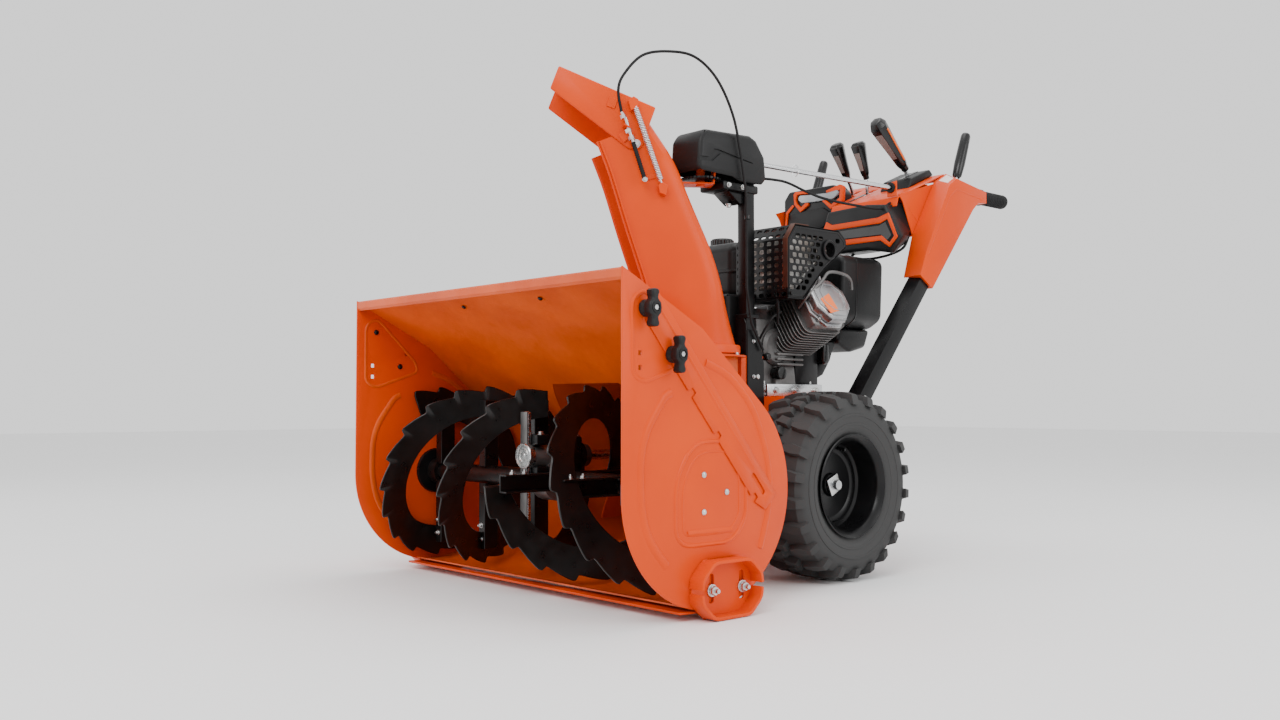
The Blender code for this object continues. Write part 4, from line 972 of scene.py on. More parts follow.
@dataclass
class Auger:
    """Shaft, two halves with toothed ribbons on channel arms, and the gearcase."""

    inner: float = 0.128
    outer: float = 0.196
    tooth: float = 0.012
    sheet: float = 0.005
    sweep: float = 380.0
    lead: float = 1.3
    pitch: float = 0.462
    start_x: float = 0.0155
    end_x: float = 0.440
    tooth_degrees: float = 20.0
    sleeve: float = 0.020
    arms: tuple[float, float, float] = (0.052, 0.235, 0.412)

    def build(self) -> None:
        """Make the auger's pieces."""
        self.half("right", -1.0, 0.0)
        self.half("left", 1.0, 90.0)
        dressed("auger_shaft", BRIGHT, Body.AUGER, 0.0010)
        dressed("worm_wheel", ZINC, Body.AUGER, 0.0005, 1)
        self.gearcase()

    def radius(self, swept: float) -> float:
        """Outer radius of the ribbon: it climbs along each tooth, then hooks back."""
        share = (swept % self.tooth_degrees) / self.tooth_degrees
        shape = ((0.0, 1.0), (0.10, 1.0), (0.20, 0.86), (0.70, 0.18), (0.84, 0.0), (0.93, 0.06), (1.0, 1.0))
        for (a, low), (b, high) in zip(shape, shape[1:]):
            if share <= b:
                return self.outer - self.tooth * (low + (high - low) * (share - a) / (b - a))
        return self.outer - self.tooth

    def ribbon(self, sign: float, first: float) -> bmesh.types.BMesh:
        """One toothed helical band.

        Args:
            sign: 1 for the left half, -1 for the right.
            first: Its first angle, in degrees from the top over the front.
        """
        rows = []
        swept = 0.0
        stops = (0.0, 0.10, 0.20, 0.45, 0.70, 0.84, 0.93, 0.985)
        while swept < self.sweep - 0.01:
            for share in stops:
                here = min(swept + share * self.tooth_degrees, self.sweep)
                middle = min(self.start_x + self.pitch * here / 360, self.end_x)
                turn = math.radians(first + here)
                row = []
                for r, side in ((self.inner, -1), ((self.inner + self.outer) / 2, -1),
                                (self.radius(here), -1),
                                (self.radius(here), 1), ((self.inner + self.outer) / 2, 1), (self.inner, 1)):
                    x = sign * (middle + side * self.sheet / 2)
                    row.append(Vector((x, AUGER[0] - r * math.sin(turn), AUGER[1] + r * math.cos(turn))))
                rows.append(row)
            swept += self.tooth_degrees
        return grid(rows, False, True, True)

    def arm(self, sign: float, x: float, angle: float) -> bmesh.types.BMesh:
        """A channel arm from the sleeve out to the ribbon, open away from the middle."""
        wall, deep, wide = 0.0035, 0.021, 0.0165
        path = [(x + sign * deep / 2, wide), (x - sign * deep / 2, wide), (x - sign * deep / 2, -wide),
                (x + sign * deep / 2, -wide)]
        channel = prism("Z", sheet_outline(path, wall), self.sleeve - 0.002, self.inner + 0.036)
        softened(channel, 0.0010, 1, 50)
        turn = Matrix.Rotation(math.radians(angle), 4, "X")
        return moved(channel, Matrix.Translation((0, *AUGER)) @ turn)

    def half(self, side: str, sign: float, first: float) -> None:
        """One half of the auger: sleeve, arms, ribbons and the bolts that hold them."""
        ends = (sign * 0.026, sign * 0.446)
        tube_wall = lathe("X", AUGER, [(self.sleeve, ends[0]), (self.sleeve, ends[1]), (0.0132, ends[1]),
                                       (0.0132, ends[0])], 36)
        collars = [lathe("X", AUGER, [(0.030, sign * (x - 0.016)), (0.030, sign * (x + 0.016)),
                                      (0.0190, sign * (x + 0.016)), (0.0190, sign * (x - 0.016))], 32)
                   for x in (0.045, 0.428)]
        parts = [tube_wall, *collars]
        for place_x in self.arms:
            for flip in (0.0, 180.0):
                parts.append(self.arm(sign, sign * place_x, first + flip))
        add_piece(f"{side}_auger_frame", joined(*parts), STEEL_BAND, Body.AUGER, angle=35)
        bands = [softened(self.ribbon(sign, first + self.lead + flip), 0.0011, 1, 50)
                 for flip in (0.0, 180.0)]
        add_piece(f"{side}_auger_ribbons", joined(*bands), STEEL_BAND, Body.AUGER, f"{side}_auger", angle=40)
        spots = []
        for flip in (0.0, 180.0):
            for place_x in self.arms:
                turn = math.radians(first + flip)
                for r in (0.112, 0.142):
                    out = Vector((0, -math.sin(turn), math.cos(turn)))
                    side_way = Vector((0, math.cos(turn), math.sin(turn)))
                    spot = Vector((sign * place_x, *AUGER)) + out * r + side_way * 0.0182
                    spots.append((tuple(spot), tuple(side_way), 0.8))
        for angle in (20, 200):
            way = Vector((0, -math.sin(math.radians(angle)), math.cos(math.radians(angle))))
            spots.append((tuple(Vector((sign * 0.045, *AUGER)) + way * 0.030), tuple(way), 0.95))
        fasteners(f"{side}_auger_bolts", Head.NUT, spots, ZINC, Body.AUGER)

    def gearcase(self) -> None:
        """Casting with a ringed cap, a bright strut across its front and its bolts."""
        dressed("gearcase", CAST, Body.MACHINE, 0.0022)
        rings = [(0.026, 0.1440), (0.026, 0.1310), (0.0245, 0.1290), (0.0220, 0.1290), (0.0210, 0.1312),
                 (0.0165, 0.1312), (0.0155, 0.1295), (0.0120, 0.1295), (0.0110, 0.1312), (0.0060, 0.1312),
                 (0.0050, 0.1300), (0.0004, 0.1298), (0.0004, 0.1440)]
        add_piece("gearcase_cap", lathe("Y", (0, WORM_Z + 0.003), rings, 48), ZINC, Body.MACHINE)
        strut = softened(box((-0.0115, 0.1325, 0.098), (0.0115, 0.1440, 0.363)), 0.0040, 3)
        add_piece("gearcase_strut", strut, BRIGHT, Body.MACHINE)
        clamp = [softened(box((-0.030, 0.144, z), (0.030, 0.176, z + 0.020)), 0.003, 2)
                 for z in (0.296, 0.232)]
        flange = lathe("Y", (0, WORM_Z), [(0.030, 0.262), (0.030, 0.274), (0.020, 0.274), (0.020, 0.262)], 36)
        block = softened(box((-0.031, 0.222, 0.238), (0.031, 0.262, 0.312)), 0.006, 2)
        add_piece("gearcase_housing", joined(*clamp, flange, block), SATIN, Body.MACHINE)
        up = (0, 0, 1)
        spots = [((0.020, 0.160, 0.316), up, 1.0), ((-0.020, 0.160, 0.316), up, 1.0),
                 ((0.021, 0.233, 0.312), up, 1.0), ((-0.021, 0.233, 0.312), up, 1.0),
                 ((0.021, 0.252, 0.312), up, 1.0), ((-0.021, 0.252, 0.312), up, 1.0)]
        spots += [((sign * 0.022, 0.2580, WORM_Z + dz), (0, -1, 0), 0.7) for sign in (-1, 1)
                  for dz in (-0.03, 0.03)]
        fasteners("gearcase_bolts", Head.HEX, spots, ZINC, Body.MACHINE)


@dataclass
class Impeller:
    """Four scooped blades on a hub, inside the drum."""

    front: float = 0.428
    back: float = 0.597
    reach: float = 0.181

    def build(self) -> None:
        """Make the impeller, its shaft and the drum."""
        blades = []
        for k in range(4):
            turn = math.tau * (k + 0.5) / 4
            along = Vector((math.cos(turn), math.sin(turn)))
            across = Vector((-along.y, along.x))
            path = [along * 0.027, along * 0.080 + across * 0.001, along * 0.120 + across * 0.006,
                    along * 0.155 + across * 0.017, along * self.reach + across * 0.030]
            line = rounded([(p.x, WORM_Z + p.y) for p in path], 0.02, False, 3)
            blades.append(softened(prism("Y", sheet_outline(line, 0.005), self.front, self.back),
                                   0.001, 1, 50))
            web = [(along * 0.028 - across * 0.004), (along * 0.105 - across * 0.001),
                   (along * 0.030 - across * 0.040)]
            shape = [(p.x, WORM_Z + p.y) for p in web]
            blades.append(prism("Y", shape, self.back - 0.030, self.back - 0.026))
        hub = lathe("Y", (0, WORM_Z), [(0.030, self.front), (0.031, self.front + 0.004),
                                       (0.031, self.back - 0.004),
                                       (0.030, self.back), (0.0109, self.back), (0.0109, self.front)], 40)
        add_piece("impeller_welded", joined(hub, *blades), PAINT, Body.IMPELLER, "impeller", angle=40)
        dressed("impeller_shaft", BRIGHT, Body.IMPELLER, 0.0008)
        dressed("impeller_pulley", CAST, Body.IMPELLER, 0.0008)
        dressed("crank_pulley", CAST, Body.PULLEY, 0.0008)
        dressed("drive_belt", RUBBER, Body.MACHINE, 0.0010)
        dressed("impeller_housing", SHADED_INSIDE_PAINT, Body.MACHINE, 0.0010)
        rim = lathe("Y", (0, WORM_Z), [(0.1935, 0.634), (0.1935, 0.638), (0.1895, 0.638),
                                       (0.1895, 0.634)], 72)
        add_piece("drum_rim", rim, PAINT, Body.MACHINE)
        spots = [((0.1905 * math.cos(a), 0.600, WORM_Z + 0.1905 * math.sin(a)),
                  (math.cos(a), 0, math.sin(a)), 0.9) for a in [math.tau * (k + 0.3) / 8 for k in range(8)]]
        fasteners("drum_bolts", Head.HEX, spots, ZINC, Body.MACHINE)


# -------------------------------------------------------------------------- chute and hood


@dataclass
class Chute:
    """Turning channel with side lips, the hood, its spring, brackets and cable end."""

    wide: float = 0.0835
    corner: float = 0.026
    sheet: float = 0.003
    collar: float = 0.0860
    hood_wide: float = 0.0885

    def turned(self, bm: bmesh.types.BMesh) -> bmesh.types.BMesh:
        """Bring a shape drawn about the collar's axis to its turned place."""
        return moved(bm, CHUTE_FRAME)

    def build(self) -> None:
        """Make the chute's pieces."""
        self.channel()
        self.hood()
        self.side_fittings()

    def stations(self) -> list[tuple[Vector, Vector, float]]:
        """Back point, front point and roundness of each section, from the foot up."""
        foot = self.collar - 0.006
        known = [
            ((foot, 0.496), (-foot, 0.496), 1.0), ((0.064, 0.540), (-0.090, 0.540), 0.75),
            ((0.043, 0.624), (-0.124, 0.603), 0.15), ((0.015, 0.711), (-0.143, 0.659), 0.0),
            ((-0.031, 0.820), (-0.177, 0.763), 0.0), ((-0.067, 0.906), (-0.209, 0.867), 0.0),
            ((-0.120, 0.988), (-0.236, 0.939), 0.0),
        ]
        backs = smooth_route([(*b, 0.0) for b, _, _ in known], 4)
        fronts = smooth_route([(*f, 0.0) for _, f, _ in known], 4)
        rounds = smooth_route([(r, 0.0, 0.0) for _, _, r in known], 4)
        return [(b.xy, f.xy, min(max(r.x, 0.0), 1.0)) for b, f, r in zip(backs, fronts, rounds)]

    def section(self, rear: Vector, front: Vector, roundness: float) -> list[Vector]:
        """One open section: its outer points, then its inner points back again."""
        run = front - rear
        depth = run.length
        run = run.normalized()
        loops = []
        for inset in (0.0, self.sheet):
            wide, corner = self.wide - inset, self.corner
            square = [(depth, wide), (depth * 0.8, wide), (depth * 0.55, wide), (corner + 0.012, wide),
                      (corner * 0.72, wide - corner * 0.10), (corner * 0.28 + inset, wide - corner * 0.46),
                      (inset + 0.0015, wide - corner * 0.9), (inset, wide - corner - 0.012), (inset, 0)]
            radius = self.collar - 0.006 - inset
            half = []
            for (a, b), degrees in zip(square, (20, 40, 62, 84, 104, 124, 144, 162, 180)):
                turn = math.radians(degrees)
                c, d = depth / 2 + radius * math.cos(turn), radius * math.sin(turn)
                half.append((a + (c - a) * roundness, b + (d - b) * roundness))
            loop = half + [(s, -w) for s, w in half[-2::-1]]
            loops.append([Vector((w, *(rear + run * s))) for s, w in loop])
        return loops[0] + loops[1][::-1]

    def channel(self) -> None:
        """The channel, its collar, the turning bracket and the lips along its open edges."""
        places = self.stations()
        rows = [self.section(*p) for p in places]
        body = softened(grid(rows, False, True, True), 0.0008, 1, 60)
        collar = lathe("Z", (0, 0), [(0.0860, 0.4886), (0.0875, 0.4900), (0.0875, 0.5040), (0.0860, 0.5070),
                                     (0.0800, 0.5085), (0.0712, 0.5085), (0.0712, 0.4886)], 64)
        lips = []
        for sign in (-1, 1):
            route = [Vector((sign * (self.wide + 0.0018), *f)) for _, f, r in places if r < 0.5]
            lips.append(tube(route, 0.0030, 8))
        flare = []
        for sign in (-1, 1):
            rows = []
            for _, front, r in places:
                if r > 0.3:
                    continue
                inner, outer = sign * (self.wide - 0.001), sign * (self.wide + 0.011)
                rows.append([Vector((inner, front.x + 0.002, front.y)),
                             Vector((outer, front.x + 0.004, front.y)),
                             Vector((outer, front.x + 0.007, front.y)),
                             Vector((inner, front.x + 0.006, front.y))])
            flare.append(grid(rows, False, True, True))
        bracket = prism("X", sheet_outline([(0.030, 0.905), (0.026, 0.8665), (-0.070, 0.8665)], 0.004),
                        -0.024, 0.024)
        pin = rod((0, 0, 0.862), (0, 0, 0.945), 0.010, 24)
        parts = [body, collar, *lips, *flare, softened(bracket, 0.0008, 1, 50), pin]
        add_piece("chute_channel", self.turned(joined(*parts)), PAINT, Body.CHUTE, "chute", angle=32)
        ring = lathe("Z", (0, 0), [(0.1000, 0.4810), (0.1000, 0.4850), (0.0835, 0.4850),
                                   (0.0835, 0.4810)], 64)
        add_piece("collar_seat", moved(ring, Matrix.Translation((*CHUTE_PLACE, 0))), PAINT, Body.MACHINE)
        spots = [((CHUTE_PLACE[0] + 0.093 * math.cos(a), CHUTE_PLACE[1] + 0.093 * math.sin(a), 0.485),
                  (0, 0, 1), 0.75) for a in [math.tau * (k + 0.2) / 6 for k in range(6)]]
        fasteners("collar_bolts", Head.HEX, spots, ZINC, Body.MACHINE)

    def hood(self) -> None:
        """The hinged hood, drawn about the collar's axis."""
        side = [(-0.110, 1.016), (-0.319, 1.101), (-0.338, 1.051), (-0.170, 0.925), (-0.150, 0.922),
                (-0.138, 0.932), (-0.134, 0.950)]
        hood = softened(prism("X", side, -self.hood_wide, self.hood_wide), 0.004, 3, 25)
        hollow = [(-0.100, 1.0085), (-0.319, 1.0975), (-0.360, 1.060), (-0.340, 0.980), (-0.10, 0.90)]
        inside = self.hood_wide - self.sheet
        shell = carved(hood, prism("X", hollow, -inside, inside))
        add_piece("hood_folded", self.turned(shell), PAINT, Body.HOOD, "deflector", angle=28)
        spots = [(tuple(self.turned_point((sign * self.hood_wide, -0.153, 0.936))),
                  tuple(self.turned_way((sign, 0, 0))), 1.25) for sign in (-1, 1)]
        fasteners("hood_hinge_bolts", Head.HEX, spots, ZINC, Body.HOOD)

    @staticmethod
    def turned_point(point: Point) -> Vector:
        """A point drawn about the collar's axis, in the drawn frame."""
        return CHUTE_FRAME @ Vector(point)

    @staticmethod
    def turned_way(way: Point) -> Vector:
        """A direction drawn about the collar's axis."""
        return Matrix.Rotation(CHUTE_TURN, 4, "Z") @ Vector(way)

    def side_fittings(self) -> None:
        """Spring, cable bracket, adjuster, boot and tab on the hood's near side."""
        x = self.hood_wide + 0.012
        low, high = Vector((x, -0.095, 0.837)), Vector((x, -0.159, 1.019))
        run = high - low
        turn = run.to_track_quat("Z", "Y").to_matrix().to_4x4()
        wire = coil(44, 0.0060, run.length * 0.86, 0.00115, BRIGHT)
        wire = moved(wire, Matrix.Translation(low + run * 0.10) @ turn)
        flat = rod(tuple(low - run * 0.03), tuple(high), 0.0022, 10)
        whole = self.turned(joined(wire, flat))
        piece = add_piece("hood_spring", whole, BRIGHT, None, "deflector_spring", angle=60)
        start, end = self.turned_point(tuple(low)), self.turned_point(tuple(high))
        self.bend(piece, start, end)
        tab = prism("X", [(-0.090, 0.823), (-0.104, 0.829), (-0.107, 0.846), (-0.098, 0.852),
                          (-0.086, 0.845)],
                    self.wide, self.wide + 0.0195)
        arm = prism("X", sheet_outline([(-0.138, 0.862), (-0.096, 0.870)], 0.010), self.wide,
                    self.wide + 0.003)
        add_piece("spring_tab", self.turned(joined(softened(tab, 0.001, 1), softened(arm, 0.001, 1))),
                  PAINT, Body.CHUTE)
        lug = prism("X", [(-0.150, 1.010), (-0.166, 1.004), (-0.172, 1.026), (-0.160, 1.034),
                          (-0.150, 1.028)],
                    self.hood_wide, self.hood_wide + 0.018)
        top = sheet_outline([(-0.196, 1.020), (-0.214, 1.026)], 0.022)
        plate = sheet_outline([(-0.168, 0.946), (-0.180, 0.962)], 0.030)
        ear = prism("X", top, self.hood_wide, self.hood_wide + 0.003)
        shelf = prism("X", plate, self.hood_wide, self.hood_wide + 0.004)
        fold = prism("X", sheet_outline([(-0.168, 0.966), (-0.182, 0.972)], 0.003), self.hood_wide,
                     self.hood_wide + 0.024)
        parts = [softened(p, 0.0008, 1) for p in (lug, ear, shelf, fold)]
        add_piece("cable_bracket", self.turned(joined(*parts)), PAINT, Body.HOOD)
        line = [Vector((x + 0.002, -0.186, 1.000)), Vector((x + 0.002, -0.177, 0.987)),
                Vector((x + 0.002, -0.168, 0.957)), Vector((x + 0.002, -0.161, 0.936)),
                Vector((x + 0.002, -0.136, 0.857))]
        thread = tube(line[:4], 0.0034, 14)
        nuts = []
        for share, size in ((0.15, 0.0066), (0.62, 0.0072), (0.86, 0.0072)):
            spot = line[0].lerp(line[3], share)
            way = (line[3] - line[0]).normalized() * 0.004
            nuts.append(rod(tuple(spot - way), tuple(spot + way), size, 6))
        add_piece("cable_adjuster", self.turned(joined(thread, *nuts)), ZINC, Body.HOOD)
        folds = 32
        boot_route = [line[3].lerp(line[4], k / folds) for k in range(folds + 1)]
        sizes = [0.0052 if k % 2 else 0.0040 for k in range(folds + 1)]
        boot = self.turned(tube(boot_route, sizes, 12))
        piece = add_piece("cable_boot", boot, RUBBER, None, angle=60)
        self.bend(piece, self.turned_point(tuple(line[4])), self.turned_point(tuple(line[3])))
        bolt = (tuple(self.turned_point(tuple(line[4]))), tuple(self.turned_way((1, 0, 0))), 0.8)
        fasteners("cable_end_bolt", Head.HEX, [bolt], ZINC, Body.CHUTE)

    @staticmethod
    def bend(piece: bpy.types.Object, start: Vector, end: Vector) -> None:
        """Bake the place of a piece that lies between the chute and the hood into its mesh."""
        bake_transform(piece)


@dataclass
class ChuteDrive:
    """Post, gear and its cover, the turning rod and the hood's cable."""

    low: Point = (0.042, 0.500, 0.880)
    high: Point = (0.138, 0.720, 0.988)

    def build(self) -> None:
        """Make the drive's pieces."""
        self.cover()
        self.gear()
        self.post()
        self.rod()
        self.cable()

    def cover(self) -> None:
        """The faceted cover with a groove along its sides."""
        lo, hi = self.low, self.high
        y0, y1, z0, z1 = lo[1], hi[1], lo[2], hi[2]
        side = [(y0, z0 + 0.020), (y0 + 0.004, z0 + 0.006), (y0 + 0.105, z0 + 0.004),
                (y0 + 0.130, z0 - 0.004),
                (y1 - 0.016, z0 - 0.004), (y1, z0 + 0.012), (y1 - 0.006, z0 + 0.064),
                (y1 - 0.034, z1 - 0.008),
                (y1 - 0.056, z1), (y0 + 0.020, z1 - 0.006), (y0 + 0.004, z1 - 0.028)]
        shell = softened(prism("X", side, lo[0], hi[0]), 0.011, 3, 25)
        inside = [(y0 + 0.005, z0 - 0.03), (y1 - 0.005, z0 - 0.03), (y1 - 0.008, z0 + 0.060),
                  (y1 - 0.060, z1 - 0.006),
                  (y0 + 0.020, z1 - 0.010), (y0 + 0.008, z1 - 0.032)]
        hollow = prism("X", inside, lo[0] + 0.004, hi[0] - 0.004)
        shell = carved(shell, hollow)
        for sign, face in ((1, hi[0]), (-1, lo[0])):
            groove = [(y0 - 0.01, z0 + 0.038), (y0 + 0.028, z0 + 0.040), (y0 + 0.046, z0 + 0.060),
                      (y0 + 0.060, z0 + 0.060), (y0 + 0.170, z0 + 0.045), (y0 + 0.170, z0 + 0.043),
                      (y0 + 0.066, z0 + 0.052), (y0 + 0.040, z0 + 0.032), (y0 - 0.01, z0 + 0.028)]
            ends = sorted((face - sign * 0.0030, face + sign * 0.01))
            shell = carved(shell, prism("X", groove, *ends))
        add_piece("gear_cover_moulded", shell, PLASTIC, Body.MACHINE, "chute_gear_cover", angle=30)

    def gear(self) -> None:
        """The ratchet drive and turning gear that hang under the cover."""
        body = softened(box((0.052, 0.585, 0.858), (0.128, 0.700, 0.877)), 0.004, 2)
        low_part = softened(prism("X", [(0.612, 0.858), (0.690, 0.858), (0.684, 0.838), (0.652, 0.832),
                                        (0.636, 0.842)], 0.066, 0.116), 0.003, 2)
        wheel = lathe("Z", (0.090, 0.550),
                      [(0.040, 0.8745), (0.040, 0.8795), (0.012, 0.8795), (0.012, 0.8745)], 40)
        tooth = box((0.038, -0.003, 0.8750), (0.0455, 0.003, 0.8790))
        teeth = turned_copies(tooth, 30, "Z", (0.090, 0.550, 0), SATIN)
        add_piece("turning_gear", joined(wheel, teeth), SATIN, Body.CHUTE)
        add_piece("ratchet_drive", joined(body, low_part), SATIN, Body.MACHINE)
        spots = [((0.129, y, 0.868), (1, 0, 0), 0.8) for y in (0.600, 0.645)]
        spots += [((0.090, 0.640, 0.833), (0, 0, -1), 1.0)]
        fasteners("ratchet_bolts", Head.HEX, spots, ZINC, Body.MACHINE)

    def post(self) -> None:
        """The square post with its foot bracket and cable clip."""
        dressed("chute_post", SATIN, Body.MACHINE, 0.0022, 3)
        foot = softened(prism("Y", [(0.094, 0.4875), (0.128, 0.4875), (0.128, 0.560), (0.120, 0.575),
                                    (0.094, 0.575)], 0.6570, 0.6612), 0.0010, 1)
        side = softened(prism("X", [(0.657, 0.330), (0.712, 0.330), (0.712, 0.470), (0.690, 0.545),
                                    (0.657, 0.545)],
                              0.1282, 0.1325), 0.0010, 1)
        strap = softened(box((0.092, 0.6565, 0.572), (0.1325, 0.696, 0.582)), 0.0012, 1)
        add_piece("post_bracket", joined(foot, side, strap), SATIN, Body.MACHINE)
        spots = [((0.1325, y, z), (1, 0, 0), 0.62)
                 for y, z in ((0.676, 0.355), (0.676, 0.440), (0.676, 0.520))]
        fasteners("post_bolts", Head.HEX, spots, ZINC, Body.MACHINE)
        ring = lathe("Z", (0.1375, 0.6520),
                     [(0.0065, 0.795), (0.0065, 0.803), (0.0040, 0.803), (0.0040, 0.795)], 16)
        stem = rod((0.126, 0.664, 0.799), (0.134, 0.655, 0.799), 0.0028, 10)
        add_piece("post_clip", joined(ring, stem), GLOSS, Body.MACHINE)

    def rod(self) -> None:
        """The turning rod with its spring pin."""
        start, end = Vector((0.1120, 0.7218, 0.9330)), Vector((0.1880, 1.1260, 0.9180))
        way = (end - start).normalized()
        bar = rod(tuple(start), tuple(end), 0.0060, 24)
        add_piece("turning_rod_bar", softened(bar, 0.0008, 1), BRIGHT, Body.ROD, "chute_rod")
        spot = start.lerp(end, 0.235)
        side = way.cross(Vector((0, 0, 1))).normalized()
        up = side.cross(way)
        loop = [spot - up * 0.016 + side * 0.001, spot + up * 0.006, spot + up * 0.010 + way * 0.004,
                spot + up * 0.014 + way * 0.010, spot + up * 0.009 + way * 0.016,
                spot + up * 0.0065 + way * 0.010,
                spot - up * 0.004 + way * 0.012 + side * 0.008, spot - up * 0.014 + way * 0.010]
        add_piece("rod_pin", tube(smooth_route([tuple(p) for p in loop], 5), 0.0011, 8), BRIGHT, Body.ROD)

    def cable(self) -> None:
        """The hood's cable: an upper length that rides on no body, and two strands fixed to the machine."""
        start = Chute.turned_point((0.1025, -0.186, 1.000))
        route = [
            tuple(start), (0.064, 0.330, 1.046), (0.068, 0.343, 1.082), (0.080, 0.385, 1.128),
            (0.096, 0.445, 1.145),
            (0.114, 0.508, 1.142), (0.131, 0.560, 1.100), (0.144, 0.598, 1.023), (0.146, 0.622, 0.935),
            (0.146, 0.638, 0.850), (0.136, 0.650, 0.800), (0.140, 0.676, 0.800), (0.155, 0.760, 0.852),
            (0.165, 0.860, 0.876), (0.176, 0.980, 0.870), (0.186, 1.120, 0.878),
        ]
        steps = 7
        line = smooth_route(route, steps)
        split = steps * 5
        near = add_piece("hood_cable_upper", tube(line[:split + 1], CABLE_RADIUS, 12), RUBBER, None,
                         "deflector_cable", angle=60)
        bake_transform(near)
        down = [*line[split:steps * 10 + 1], Vector((0.1350, 0.652, 0.740)), Vector((0.1340, 0.653, 0.640)),
                Vector((0.1400, 0.662, 0.560)), Vector((0.1400, 0.700, 0.500))]
        back = [(0.120, 0.712, 0.898), (0.128, 0.757, 0.899), (0.134, 0.796, 0.896), (0.143, 0.857, 0.880),
                (0.152, 0.921, 0.869), (0.168, 1.024, 0.863), (0.180, 1.090, 0.863), (0.187, 1.122, 0.880)]
        strands = [tube(down, CABLE_RADIUS, 12), tube(smooth_route(back, steps), CABLE_RADIUS, 12)]
        add_piece("hood_cable_lower", joined(*strands), RUBBER, Body.MACHINE, angle=60)


# -------------------------------------------------------------------------------- tractor


